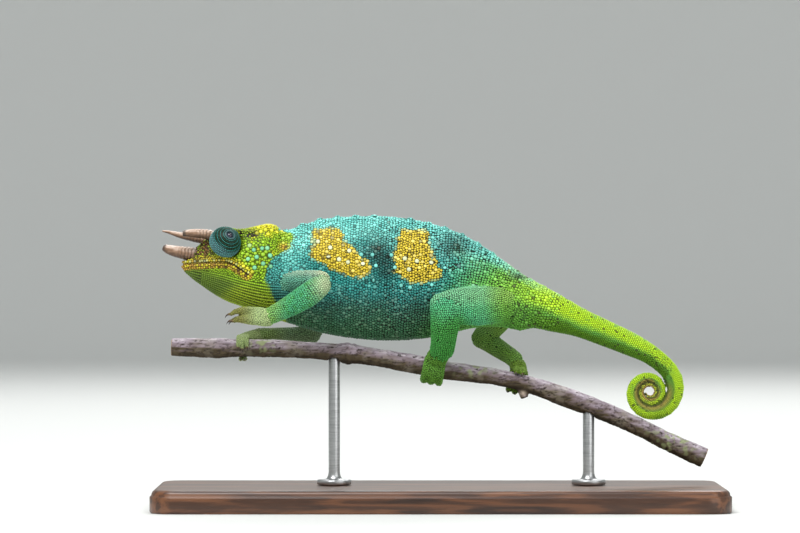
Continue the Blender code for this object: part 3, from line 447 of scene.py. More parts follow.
def markings(spots, owner):
    """How strongly each pigment covers the one before it at each spot."""
    x, _, z = spots.T
    drift = broken(spots, PATCH_LENGTH, 1)
    fine = broken(spots, FLECK_LENGTH, 2)
    back = np.interp(x, *zip(*BACK_LINE))
    belly = np.interp(x, *zip(*BELLY_LINE))
    high = (z - belly) / (back - belly) + 0.05 * drift
    trunk = among(owner, "torso", "neck", "tail_root", "head", "lower_jaw")
    tail = among(owner, "tail")
    head = among(owner, "head", "lower_jaw", "neck", "torso_front")
    arms = among(owner, "arm")
    legs = among(owner, "leg")
    coil = among(owner, "tail_coil")
    hand = among(owner, "arm_left_hand", "arm_right_hand")
    foot = among(owner, "leg_left_foot", "leg_right_foot")
    found = {}
    thigh = among(owner, "leg_left_upper", "leg_right_upper") * step(x + drift, 12, 23)
    trunk = np.maximum(trunk, thigh)
    found["turquoise"] = trunk * step(high + 0.08 * fine, 0.6, 0.86) * (1 - 0.3 * step(x, 30, 44))
    found["turquoise"] *= 0.82 + 0.5 * drift + 0.25 * fine
    found["turquoise"] += trunk * 0.35 * lobe(x, z, *PALE_SHOULDER) + trunk * 0.25 * step(fine, 0.1, 0.5)
    dark = sum(share * lobe(x, z, *place) for share, place in DARK_PATCHES)
    dark *= 1 + 0.6 * drift + 0.3 * fine
    # Painted shade: the low front of the trunk is darkened almost to black.
    low_front_shade = (1 - step(high, 0.2, 0.5)) * (1 - step(x, -6, 12))
    found["night"] = trunk * (1 - thigh) * (dark + 0.12 * step(fine, 0.3, 0.5) + 0.68 * low_front_shade)
    found["moss"] = trunk * (1 - step(high, 0.04, 0.42)) * 0.75 * step(x, -60, -52) * (1 - step(x, 10, 24))
    rear = step(x + 3 * drift - 16 * (high - 0.5), -4, 18)
    found["leaf"] = np.maximum(np.maximum(trunk, tail), legs) * rear
    found["leaf"] *= 1 - 0.85 * step(high, 0.76, 0.95)
    on_tail = np.maximum(tail, trunk) * step(x + 2 * drift, 16, 42)
    outer, middle = tail_height(x, z, high, coil)
    lime = on_tail * step(outer + 0.08 * fine, 0.32, 0.62) + coil * step(outer, 0.3, 0.6)
    found["lime"] = np.clip(lime, 0, 1) * (0.9 - 0.35 * step(fine, 0.25, 0.45))
    low_side = 1 - step(outer + 0.1 * drift, 0.28, 0.52)
    found["grass"] = np.clip(on_tail + coil, 0, 1) * low_side * (1 - 0.6 * coil)
    found["grass"] = np.maximum(found["grass"], 0.8 * coil * lobe(x, z, *COIL_FOOT))
    rolled_in = 1 - step(z, 38, 47) * step(x, 74, 76)
    inner = 0.8 * (1 - step(outer, 0.15, 0.5)) + 0.6 * (1 - step(middle, 2.6, 4.4))
    found["sand"] = coil * rolled_in * inner
    found["jade"] = (arms | legs) * (1 - thigh) * (0.9 + 0.4 * drift)
    behind = step(x, 5, 19)
    down_leg = 1 - step(z + 2 * drift, 62 - 8 * behind, 76 - 10 * behind)
    forearm = among(owner, "arm_left_lower")
    found["fern"] = legs * (0.1 + 0.75 * down_leg) + arms * step(fine, -0.1, 0.5) * 0.3 + 0.35 * forearm
    elbow = lobe(x, z, *ELBOW) * among(owner, "arm_left")
    # Painted highlight: the top of the near upper arm is made pale.
    arm_top_highlight = among(owner, "arm_left_upper") * step(z, 80, 83)
    wrist = among(owner, "arm_left_lower", "arm_right_lower") * (1 - step(x, -60, -52))
    far_arm = among(owner, "arm_right")
    far_leg = among(owner, "leg_right")
    # Painted highlight: the top of the near thigh is made paler.
    thigh_top_highlight = among(owner, "leg_left_upper") * step(z, 69, 75)
    upper_arm = among(owner, "arm_left_upper")
    found["cream"] = 0.9 * hand + 0.8 * elbow + 0.6 * arm_top_highlight + 0.55 * far_arm + 0.15 * far_leg
    found["cream"] += 0.2 * thigh_top_highlight + 0.08 * upper_arm + 0.2 * wrist
    found["slate"] = 0.45 * upper_arm * (1 - step(x, -46, -38))
    edge = np.interp(z, *zip(*HEAD_EDGE))
    is_head = head * step(edge - x + 1.2 * drift + 0.8 * fine, -0.6, 0.8)
    hip = among(owner, "torso_rear", "leg_left_upper", "tail_root") * lobe(x, z, *HIP)
    found["apple"] = is_head + 0.35 * foot + 0.5 * wrist + 0.35 * hand + 0.45 * far_leg + 0.35 * hip
    throat = is_head * (1 - step(z + 0.35 * (x + 75), 78.5, 83.5))
    digits = among(owner, "arm_left_hand") * step(-x + 0.5 * drift, 62, 70)
    gular = throat * step(x - 1.3 * (z - 75), -79, -70)
    # The olive over the far arm and leg is partly their own colour and partly painted shade.
    found["olive"] = 0.85 * throat - 0.45 * gular + 0.35 * far_leg + 0.25 * foot
    found["olive"] += 0.45 * far_arm + 0.8 * digits
    flecks = 0.45 * step(fine, 0.1, 0.5) * step(z, 82, 88)
    found["yellow"] = is_head * (lobe(x, z, *CASQUE_LUMP) + flecks)
    lips = from_line(x, z, MOUTH_LINE)
    below = np.interp(x, *zip(*MOUTH_LINE)) - z
    found["yellow"] += 0.15 * gular + 0.55 * is_head * (1 - step(lips, 1.8, 3)) * (below < 0)
    found["amber"] = is_head * (1 - step(lips, 1.7, 2.5)) * (0.25 + 0.65 * step(below, -0.6, 0.4))
    found["amber"] += 0.9 * lobe(x, z, *NECK_SPOT) * trunk + 0.2 * digits
    ragged = 1.6 * drift + 1.1 * fine
    found["ochre"] = trunk * 0.97 * np.maximum(inside(x + ragged, z + 0.8 * fine, BLOTCH_FRONT, 0.7),
                                               inside(x + ragged, z + 0.8 * fine, BLOTCH_REAR, 0.7))
    found["tan"] = head * 1.5 * lobe(x, z, *SNOUT)
    brow = sum(lobe(x, z, *place) for place in BROW)
    mouth = (lips < 0.3) * (x < -66.6) * (0.5 + 0.45 * step(x, -76, -71))
    found["umber"] = head * (brow * (0.9 + 0.6 * fine) + mouth)
    tail_spot = lobe(x, z, *TAIL_ROOT_SPOT) + 0.8 * lobe(x, z, *TAIL_SPOT) * (fine > 0)
    # Painted shade: two dark streaks in the folds behind the hip.
    fold_shade = lobe(x - 0.5 * (z - 68), z, 26, 68, 0.5, 4) + lobe(x - 0.4 * (z - 68), z, 29.6, 67, 0.45, 3)
    # Painted shade: dark lines where the coil's turns touch each other.
    touching_shade = coil * ((1 - step(outer, 0.02, 0.14)) + step(outer, 0.86, 0.98) * (middle < 4.9))
    # Ink is the black spots at the tail root and on the tail, and the painted shade in the hip folds and
    # between the coil's turns.
    found["ink"] = 0.8 * tail_spot * np.maximum(trunk, tail) + 0.5 * fold_shade * trunk + 0.75 * touching_shade
    # Soft lightens the painted shade between the scales.
    found["soft"] = 0.08 * arms + 0.09 * tail + 0.04 * legs + 0.1 * head + 0.1 * hand
    found["soft"] += 0.14 * far_arm + 0.1 * digits + 0.12 * elbow
    return {key: np.clip(values, 0, 1) for key, values in found.items()}


def ink(code):
    """A linear colour from its web code."""
    parts = np.array([int(code[i:i + 2], 16) for i in (1, 3, 5)]) / 255
    linear = np.where(parts <= 0.04045, parts / 12.92, ((parts + 0.055) / 1.055) ** 2.4)
    return (*linear, 1.0)


def store(mesh, name, values):
    """Keeps one number for each corner."""
    layer = mesh.attributes.new(name, "FLOAT", "POINT")
    layer.data.foreach_set("value", np.asarray(values, np.float32))


def add_node(tree, kind, fed=None, **settings):
    """A node with its settings, and with links or plain values fed to its inputs."""
    node = tree.nodes.new(kind)
    for key, value in settings.items():
        setattr(node, key, value)
    for key, value in (fed or {}).items():
        if isinstance(value, bpy.types.NodeSocket):
            tree.links.new(value, node.inputs[key])
        else:
            node.inputs[key].default_value = value
    return node


def blended(tree, share, low, high, mode="MIX"):
    return add_node(tree, "ShaderNodeMix", {0: share, 6: low, 7: high}, data_type="RGBA",
                    blend_type=mode).outputs[2]


def sum_of(tree, kind, *numbers):
    return add_node(tree, "ShaderNodeMath", dict(enumerate(numbers)), operation=kind).outputs[0]


def swayed(tree, number, texture, share):
    """A number moved up and down by a texture."""
    sway = sum_of(tree, "MULTIPLY", sum_of(tree, "SUBTRACT", texture, 0.5), share)
    return sum_of(tree, "ADD", number, sway)


def spread_over(tree, number, low, high):
    """0 at low and 1 at high."""
    fed = {"Value": number, "From Min": low, "From Max": high}
    return add_node(tree, "ShaderNodeMapRange", fed).outputs["Result"]


def read_number(tree, name):
    return add_node(tree, "ShaderNodeAttribute", attribute_name=name).outputs["Fac"]


def ramped(tree, number, stops):
    """A colour read from a number through stops of place and colour."""
    ramp = add_node(tree, "ShaderNodeValToRGB", {"Fac": number})
    while len(ramp.color_ramp.elements) < len(stops):
        ramp.color_ramp.elements.new(0.5)
    for element, (place, colour) in zip(ramp.color_ramp.elements, stops):
        element.position = place
        element.color = ink(colour) if isinstance(colour, str) else colour
    return ramp.outputs["Color"]


def noise_on(tree, scale, detail=4.0, stretch=(1, 1, 1)):
    """Noise on the piece's own place, drawn out along an axis."""
    place = add_node(tree, "ShaderNodeTexCoord").outputs["Object"]
    drawn = add_node(tree, "ShaderNodeMapping", {"Vector": place, "Scale": stretch}).outputs["Vector"]
    texture = add_node(tree, "ShaderNodeTexNoise", {"Vector": drawn, "Scale": scale, "Detail": detail})
    return texture.outputs["Fac"]


def bumped(tree, shader, height, strength, depth):
    fed = {"Height": height, "Strength": strength, "Distance": depth * MM}
    tree.links.new(add_node(tree, "ShaderNodeBump", fed).outputs["Normal"], shader.inputs["Normal"])


def new_finish(name, roughness):
    material = bpy.data.materials.new(name)
    material.use_nodes = True
    shader = material.node_tree.nodes["Principled BSDF"]
    shader.inputs["Roughness"].default_value = roughness
    return material, material.node_tree, shader


def hide_finish():
    """Pigments over one another, with painted shade between the scales and a painted highlight on their
    crowns.
    """
    material, tree, shader = new_finish("scaly hide", 0.45)
    colour = ink(PIGMENTS[0][1])
    for name, code in PIGMENTS[1:]:
        colour = blended(tree, read_number(tree, name), colour, ink(code))
    mottle = noise_on(tree, 900.0, 3.0)
    crown = sum_of(tree, "MAXIMUM", read_number(tree, "crown"), read_number(tree, "soft"))
    # Painted shade: the colour darkens towards each scale's foot and on the bare skin between the scales.
    gap_shade = ramped(tree, crown, [(0.0, (0.06, 0.06, 0.05, 1)), (0.6, (1, 1, 1, 1))])
    gap_shaded = blended(tree, 1.0, colour, gap_shade, "MULTIPLY")
    # Painted highlight: each scale's crown is brightened, by a random strength for each scale.
    shine = sum_of(tree, "MULTIPLY", sum_of(tree, "POWER", crown, 2.0), read_number(tree, "tint"))
    lift = sum_of(tree, "MULTIPLY_ADD", shine, 0.55, 0.92)
    lit = add_node(tree, "ShaderNodeVectorMath", {0: gap_shaded, "Scale": lift}, operation="SCALE")
    # Painted highlight: the very tip of each crown is blended towards near-white.
    top = sum_of(tree, "MULTIPLY", sum_of(tree, "POWER", crown, 5.0), 0.1)
    crest = blended(tree, top, lit.outputs["Vector"], ink("#e8f2d8"))
    tree.links.new(blended(tree, 0.2, crest, mottle, "SOFT_LIGHT"), shader.inputs["Base Color"])
    shader.inputs["Specular IOR Level"].default_value = 0.22
    bumped(tree, shader, mottle, 0.2, 0.04)
    return material


def soften(mesh):
    """Shades a mesh as one smooth surface."""
    mesh.polygons.foreach_set("use_smooth", [True] * len(mesh.polygons))


hide = hide_finish()
# The sheet has no crown number of its own, so it takes the painted shade between the scales in full.
for name, values in markings(skin_spots, skin_owner).items():
    store(skin_mesh, name, values)
skin = plain_object("skin", skin_mesh)
skin_mesh.materials.clear()
skin_mesh.materials.append(hide)
soften(skin_mesh)


def unwrapped(obj):
    """Unwraps the sheet by its own shape, for the patches of the scales to be placed on."""
    bpy.ops.object.select_all(action="DESELECT")
    obj.select_set(True)
    bpy.context.view_layer.objects.active = obj
    obj.data.uv_layers.new(name="OFBake")
    bpy.ops.object.mode_set(mode="EDIT")
    bpy.ops.mesh.select_all(action="SELECT")
    bpy.ops.uv.smart_project(angle_limit=radians(66), island_margin=0.003)
    bpy.ops.object.mode_set(mode="OBJECT")


unwrapped(skin)
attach(skin, "root")
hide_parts(*flesh)

# Scales
# Thousands of small round scales of many sizes sit close together over the whole hide: in rings
# round the trunk, limbs and tail, in long rows on the throat, in rows of beads along the lips and in
# loose order on the head. Larger round ones stand between them on the flanks and cheeks.
SPINE = [(-55, 0, 81.2), (-50.4, 0, 81.1), (-41.3, 0, 81.2), (-30.1, 0, 80.9), (-17.5, 0, 80.4),
         (-4.4, 0, 79.6), (6, 0, 78.6), (14.5, 0, 77), (23.6, 0, 74), (29.4, 0, 71.5), (34.2, 0, 70.6),
         (41.1, 0, 68), (49, 0, 64.9), (57.8, 0, 61.2), (67, 0, 57.2), (73.8, 0, 53.6)]
TAIL_START = 8
JAW_AXIS = [(-90, 0, 83.9), (-84, 0, 83.2), (-76, 0, 82), (-68, 0, 80), (-60, 0, 78.5), (-52, 0, 78)]
LIMB_AXES = {
    "arm_left_upper": [(-54, -4.8, 78.9), (-50, -8.8, 79.5), (-45.5, -13, 80), (-39, -17, 79.7)],
    "arm_left_lower": [(-38.5, -17.2, 79), (-41.3, -17.4, 77.6), (-45.2, -18, 75), (-52.4, -16.6, 70.8),
                       (-60, -14.2, 67)],
    "arm_right_upper": [(-51.5, 4.8, 75), (-48.5, 8, 71), (-45.6, 10.6, 65.5), (-44.2, 12.2, 58)],
    "arm_right_lower": [(-42.5, 12.4, 60), (-49, 10.6, 60.6), (-56.5, 8, 61), (-64, 5, 61)],
    "leg_left_upper": [(24.5, -3.4, 71.2), (17.5, -7.2, 71), (10, -10.4, 70.8), (3.2, -12.8, 71),
                       (-3.5, -14, 71)],
    "leg_left_lower": [(1.4, -13.8, 73), (1.5, -13, 65.5), (1.2, -10.6, 59.5), (0.5, -7.6, 52)],
    "leg_right_upper": [(24, 3.4, 71.4), (20.5, 8.2, 66), (16, 12.4, 60.8), (12.5, 14, 57.5)],
    "leg_right_lower": [(12, 14, 59.6), (19, 11.4, 56.4), (23.6, 7.6, 53.4), (28.5, 3.6, 50)],
}
STUDS = {
    "cream": [(-42.6, 93.3), (-38.3, 91.2), (-31.7, 90.1), (-38.9, 88.0), (-35.2, 87.1), (-32.1, 86.1),
              (-26.9, 85.6), (-12.3, 87.4), (-8.1, 86.5), (-3.1, 86.0), (-10.9, 83.6)],
    "turquoise": [(-27.5, 88.8), (-23.6, 88.7), (-17.0, 88.6), (-22.4, 84.9), (-15.8, 84.3), (1.6, 84.2),
                  (6.5, 84.7), (-33.7, 82.0), (-26.8, 80.2), (-23.2, 79.8), (-13.6, 78.0), (-10.5, 77.3),
                  (-2.9, 78.2)],
    "leaf": [(-66.4, 91.9), (-64.9, 90.4), (-63.9, 87.9), (-62.0, 90.9), (-60.2, 91.0), (-59.2, 88.4),
             (-66.9, 87.2), (-61.6, 85.6), (-64.6, 84.2), (-59.0, 84.6)],
    "yellow": [(-63.4, 98.2), (-61.8, 98.9), (-60.1, 99.1), (-58.4, 98.8), (-56.7, 98.3), (-60.9, 97.4),
               (-58.8, 97.2), (-57.0, 96.6), (-62.5, 96.8), (-55.4, 96.9), (-63.9, 96.3), (-60.0, 95.9)],
}
STUD_WIDTH = {"cream": 1.65, "turquoise": 1.45, "leaf": 1.6, "yellow": 1.5}
TRUNK_PITCH = 0.95
TAIL_PITCH = 0.68
COIL_PITCH = 0.6
LIMB_PITCH = 0.74
JAW_PITCH = 0.74
LIP_PITCH = 0.85
LIP_ABOVE = ("cream", "yellow", "amber", "cream")
LIP_BELOW = ("amber", "yellow", "amber", "tan")
LIP_REACH = (-91.5, -66.4)
LIP_ROWS = [(0.7, LIP_ABOVE, 0.95), (-0.8, LIP_BELOW, 0.95), (-1.65, LIP_BELOW, 0.8)]
JAW_ROWS = 13
JAW_ROW_TURN = radians(6.6)
FEELERS = 56
WIDTHS = (0.76, 0.94, 1.1, 1.32, 1.5)
WIDTH_SHARES = (0.2, 0.42, 0.24, 0.1, 0.04)
BIG_FROM = 1.25
STUD_ROOM, LIP_ROOM, JAW_ROOM, RING_ROOM, FILLER_ROOM = 0.9, 0.8, 0.62, 0.72, 0.84
STUD_HOLD, LIP_HOLD, JAW_HOLD = 1.0, 0.7, 0.85
JAW_SCALE = 0.9
CHEEK = (-64, 88, 6.5, 6.5)
GRAIN, GRAIN_TRUNK, GRAIN_HEAD, GRAIN_TAIL, GRAIN_FINE, GRAIN_COIL = 0.7, 0.85, 0.68, 0.6, 0.52, 0.5
FILLERS = 100000
CELL = 1.8
EASE_REACH = 1.7
EASE_PUSH = 0.45
EASE_ROUNDS = 6
TOUCHING = 1.35
FIT_LIMITS = (0.75, 1.3)

rng = np.random.default_rng(12)
skin_polygons = [tuple(p.vertices) for p in skin_mesh.polygons]
skin_tree = BVHTree.FromPolygons(skin_spots.tolist(), skin_polygons)
skin_quads = np.array([p + (p[-1],) if len(p) == 3 else p[:4] for p in skin_polygons])
polygon_owner = skin_owner[skin_quads[:, 0]]
roots = []


def add_root(found, ahead, wide, room, firm=0.0, hue=""):
    """Notes one scale: its place, the way out, the way it lies, its face, width, room and hold."""
    if found[0] is not None:
        roots.append((tuple(found[0]), tuple(found[1]), tuple(ahead), found[2], wide, room, firm, hue))


def both_sides(x, z, wide, room, firm, hue):
    """Notes one scale on each side of the animal, felt for from the side."""
    for side in (-1, 1):
        found = skin_tree.ray_cast(Vector((x, side * 40, z)), Vector((0, -side, 0)), 40)
        add_root(found, (1, 0, 0), wide, room, firm, hue)


def lip_roots():
    """Two rows of beads below the mouth and one above it, on both sides and round the snout."""
    for off, hues, wide in LIP_ROWS:
        for x in np.arange(*LIP_REACH, LIP_PITCH):
            x += rng.uniform(-0.1, 0.1)
            z = np.interp(x, *zip(*MOUTH_LINE)) + off + rng.uniform(-0.1, 0.1)
            both_sides(x, z, wide, LIP_ROOM, LIP_HOLD, rng.choice(hues))


def smooth_line(rows, at):
    """Rows read at fractional places along them, on a smooth curve."""
    rows = np.asarray(rows, float)
    slopes = np.gradient(rows, axis=0)
    i = np.clip(at.astype(int), 0, len(rows) - 2)
    f = (at - i)[:, None]
    return (rows[i] * (2 * f**3 - 3 * f**2 + 1) + slopes[i] * (f**3 - 2 * f**2 + f)
            + rows[i + 1] * (3 * f**2 - 2 * f**3) + slopes[i + 1] * (f**3 - f**2))


def run_of(line):
    """The length of a line up to each of its spots."""
    return np.concatenate([[0], np.cumsum(np.linalg.norm(np.diff(line, axis=0), axis=1))])


def even_steps(points, pitch):
    """Places and directions at an even pitch along a smooth line through points."""
    line = smooth_line(points, np.linspace(0, len(points) - 1, 40 * len(points)))
    run = run_of(line)
    marks = np.arange(0, run[-1], pitch)
    places = np.stack([np.interp(marks, run, line[:, k]) for k in range(3)], 1)
    return places, unit(np.gradient(places, axis=0))


def coil_axis():
    turns = np.arange(COIL_START, COIL_END, radians(10))
    radius = COIL_RADIUS * np.exp(-COIL_SHRINK * turns)
    return np.stack([COIL_X + radius * np.cos(turns), 0 * turns, COIL_Z - radius * np.sin(turns)], 1)


def jaw_rows():
    """Long rows of scales that run back along the throat."""
    places, heading = even_steps(JAW_AXIS, JAW_PITCH)
    wanted = {i for i, node in enumerate(flesh) if node in ("lower_jaw", "neck")}
    for place, ahead in zip(places, heading):
        ahead = Vector(ahead)
        up = (Vector((0, 0, 1)) - ahead * ahead.z).normalized()
        side = ahead.cross(up)
        for k in range(-JAW_ROWS, JAW_ROWS + 1):
            turn = pi + JAW_ROW_TURN * k
            found = skin_tree.ray_cast(Vector(place), up * cos(turn) + side * sin(turn), 16)
            if found[0] is not None and polygon_owner[found[2]] in wanted:
                add_root(found, ahead, JAW_SCALE, JAW_ROOM, JAW_HOLD)


def ring(centre, up, side, pitch, stagger, reach, mixed):
    """Spots spread evenly round one ring of the body, found by feeling outwards from its middle."""
    angles = np.linspace(0, tau, FEELERS, endpoint=False)
    felt = [skin_tree.ray_cast(centre, up * cos(a) + side * sin(a), reach)[3] or 0.0 for a in angles]
    reach_at = np.array(felt)
    if reach_at.max() == 0:
        return []
    reach_at[reach_at == 0] = reach_at[reach_at > 0].mean()
    outline = np.stack([reach_at * np.cos(angles), reach_at * np.sin(angles)], 1)
    laps = run_of(np.concatenate([outline, outline[:1]]))
    total = max(5, round(laps[-1] / pitch))
    marks = (np.arange(total) + stagger + mixed * rng.uniform(-0.22, 0.22, total)) / total * laps[-1]
    places = np.interp(marks % laps[-1], laps, np.append(angles, tau))
    return [skin_tree.ray_cast(centre, up * cos(a) + side * sin(a), reach) for a in places]


def rows_round(axis, pitch, names, reach, mixed=1.0):
    """Rings of scales along an axis, on the part of the hide that belongs to the named nodes."""
    places, heading = even_steps(axis, pitch)
    wanted = {i for i, node in enumerate(flesh) if node.startswith(names)}
    up = Vector((0, 0, 1))
    for i, (place, ahead) in enumerate(zip(places, heading)):
        ahead = Vector(ahead)
        up = (up - ahead * up.dot(ahead)).normalized()
        side = ahead.cross(up)
        for found in ring(Vector(place), up, side, pitch, 0.5 * (i % 2), reach, mixed):
            if found[0] is not None and polygon_owner[found[2]] in wanted:
                wide = pitch * (1 + mixed * (rng.choice(WIDTHS, p=WIDTH_SHARES) - 1))
                spot = found[0] + ahead * mixed * rng.uniform(-0.18, 0.18) * pitch
                add_root((spot, *found[1:]), ahead, wide, RING_ROOM)


def grain(spots, owner):
    """The usual width of a scale at each spot: finest on hands, feet and tail tip."""
    x, _, z = spots.T
    wide = np.full(len(x), GRAIN)
    wide[among(owner, "torso", "neck")] = GRAIN_TRUNK
    head = among(owner, "head", "lower_jaw")
    wide[head] = np.clip(GRAIN_HEAD + 0.55 * lobe(x, z, *CHEEK), 0.6, 1.2)[head]
    wide[among(owner, "tail_middle")] = GRAIN_TAIL
    wide[among(owner, *FINE_PARTS)] = GRAIN_FINE
    wide[among(owner, "tail_coil")] = GRAIN_COIL
    return wide


def scattered(count, share):
    """Random spots over the hide for scales that fill what the rows leave bare."""
    corners = skin_spots[skin_quads]
    across = np.cross(corners[:, 2] - corners[:, 0], corners[:, 3] - corners[:, 1])
    area = np.linalg.norm(across, axis=1)
    chance = area / grain(corners[:, 0], polygon_owner) ** 2
    faces = rng.choice(len(area), count, p=chance / chance.sum())
    u, v = rng.random((2, count, 1))
    quad = corners[faces]
    low = quad[:, 0] * (1 - u) + quad[:, 1] * u
    spots = low * (1 - v) + (quad[:, 3] * (1 - u) + quad[:, 2] * u) * v
    out = unit(across[faces])
    wide = grain(spots, polygon_owner[faces]) * share * rng.uniform(0.8, 1.25, count)
    for row in zip(spots.tolist(), out.tolist(), faces.tolist(), wide.tolist()):
        roots.append((tuple(row[0]), tuple(row[1]), (1.0, 0.0, 0.0), row[2], row[3], FILLER_ROOM, 0.0, ""))


def with_room():
    """Keeps each scale that has room beside the ones noted before it."""
    around = [(i, j, k) for i in (-1, 0, 1) for j in (-1, 0, 1) for k in (-1, 0, 1)]
    taken, kept = {}, []
    for row in roots:
        (x, y, z), wide, room = row[0], row[4], row[5]
        i, j, k = int(x // CELL), int(y // CELL), int(z // CELL)
        near = (other for a, b, c in around for other in taken.get((i + a, j + b, k + c), ()))
        if all((a - x)**2 + (b - y)**2 + (c - z)**2 >= (0.5 * room * (wide + other))**2
               for a, b, c, other in near):
            taken.setdefault((i, j, k), []).append((x, y, z, wide))
            kept.append(row)
    return kept


def close_pairs(spots, reach):
    """All pairs of spots nearer than reach."""
    cells = np.floor(spots / reach).astype(int)
    cells -= cells.min(axis=0) - 1
    wide = cells.max(axis=0) + 2
    key = (cells[:, 0] * wide[1] + cells[:, 1]) * wide[2] + cells[:, 2]
    order = np.argsort(key, kind="stable")
    ranked = key[order]
    near = (-1, 0, 1)
    shifts = [(i * wide[1] + j) * wide[2] + k for i in near for j in near for k in near]
    found = []
    for shift in shifts[len(shifts) // 2:]:
        first = np.searchsorted(ranked, key + shift, "left")
        last = np.searchsorted(ranked, key + shift, "right")
        for skip in range(int((last - first).max())):
            one = np.nonzero(first + skip < last)[0]
            other = order[first[one] + skip]
            found.append(np.stack([one, other], 1)[(shift > 0) | (one < other)])
    pairs = np.concatenate(found)
    away = np.linalg.norm(spots[pairs[:, 0]] - spots[pairs[:, 1]], axis=1)
    return pairs[(away < reach) & (away > 1e-6)]


def eased(spots, wide, firm):
    """Lets neighbours push each other apart over the hide until they lie side by side."""
    for _ in range(EASE_ROUNDS):
        one, other = close_pairs(spots, EASE_REACH).T
        gap = spots[other] - spots[one]
        away = np.linalg.norm(gap, axis=1)
        over = np.clip(0.5 * (wide[one] + wide[other]) - away, 0, None)
        push = gap * (EASE_PUSH * over / away)[:, None]
        moved = gathered(len(spots), other, push) - gathered(len(spots), one, push)
        spots = spots + moved * (1 - firm)[:, None]
        nearest = [skin_tree.find_nearest(s) for s in spots.tolist()]
        spots = np.array([n[0] for n in nearest])
        out = np.array([n[1] for n in nearest])
        faces = np.array([n[2] for n in nearest])
    one, other = close_pairs(spots, EASE_REACH).T
    away = np.linalg.norm(spots[other] - spots[one], axis=1)
    share = away / (0.5 * (wide[one] + wide[other]))
    close = share < TOUCHING
    one, other, share = one[close], other[close], share[close]
    count = np.bincount(np.concatenate([one, other]), minlength=len(spots))
    total = np.bincount(one, share, len(spots)) + np.bincount(other, share, len(spots))
    fit = np.clip(np.where(count > 0, total / np.maximum(count, 1), 1.2), *FIT_LIMITS)
    return spots, out, faces, wide * fit


for hue, places in STUDS.items():
    for x, z in places:
        both_sides(x, z, STUD_WIDTH[hue], STUD_ROOM, STUD_HOLD, hue)
lip_roots()
jaw_rows()
rows_round(SPINE, TRUNK_PITCH, ("torso", "neck", "tail_root"), 26)
rows_round(SPINE[TAIL_START:], TAIL_PITCH, ("tail_upper", "tail_middle"), 9, 0.3)
rows_round(coil_axis(), COIL_PITCH, ("tail_coil",), 6, 0.25)
for names, axis in LIMB_AXES.items():
    rows_round(axis, LIMB_PITCH, (names,), 10, 0.8)
scattered(FILLERS, 1.0)
scattered(FILLERS, 0.66)
spots, _, ahead, _, wide, _, firm, hues = map(np.array, zip(*with_room()))
spots, out, faces, wide = eased(spots, wide, firm)


def granule(name, sides, rings):
    """One scale: a low dome with a sunk foot, and how near each corner is to its crown."""
    corners = [(r * cos(tau * k / sides), r * sin(tau * k / sides), h)
               for r, h, _ in rings for k in range(sides)]
    corners.append((0, 0, 1))
    faces = [(row + k, row + (k + 1) % sides, row + sides + (k + 1) % sides, row + sides + k)
             for row in range(0, sides * (len(rings) - 1), sides) for k in range(sides)]
    last = sides * (len(rings) - 1)
    faces += [(last + k, last + (k + 1) % sides, last + sides) for k in range(sides)]
    faces.append(tuple(range(sides - 1, -1, -1)))
    mesh = bpy.data.meshes.new(name)
    mesh.from_pydata(corners, [], faces)
    # The crown number sets how much painted shade and painted highlight each corner takes.
    store(mesh, "crown", [c for _, _, c in rings for _ in range(sides)] + [1.0])
    spot = mesh.uv_layers.new(name="spot")
    for face in mesh.polygons:
        for loop in face.loop_indices:
            x, y, _ = corners[mesh.loops[loop].vertex_index]
            foot = len(face.vertices) == sides and face.index == len(mesh.polygons) - 1
            spot.data[loop].uv = (0.86 + 0.1 * x, 0.86 + 0.1 * y) if foot else (x, y)
    return plain_object(name, mesh)


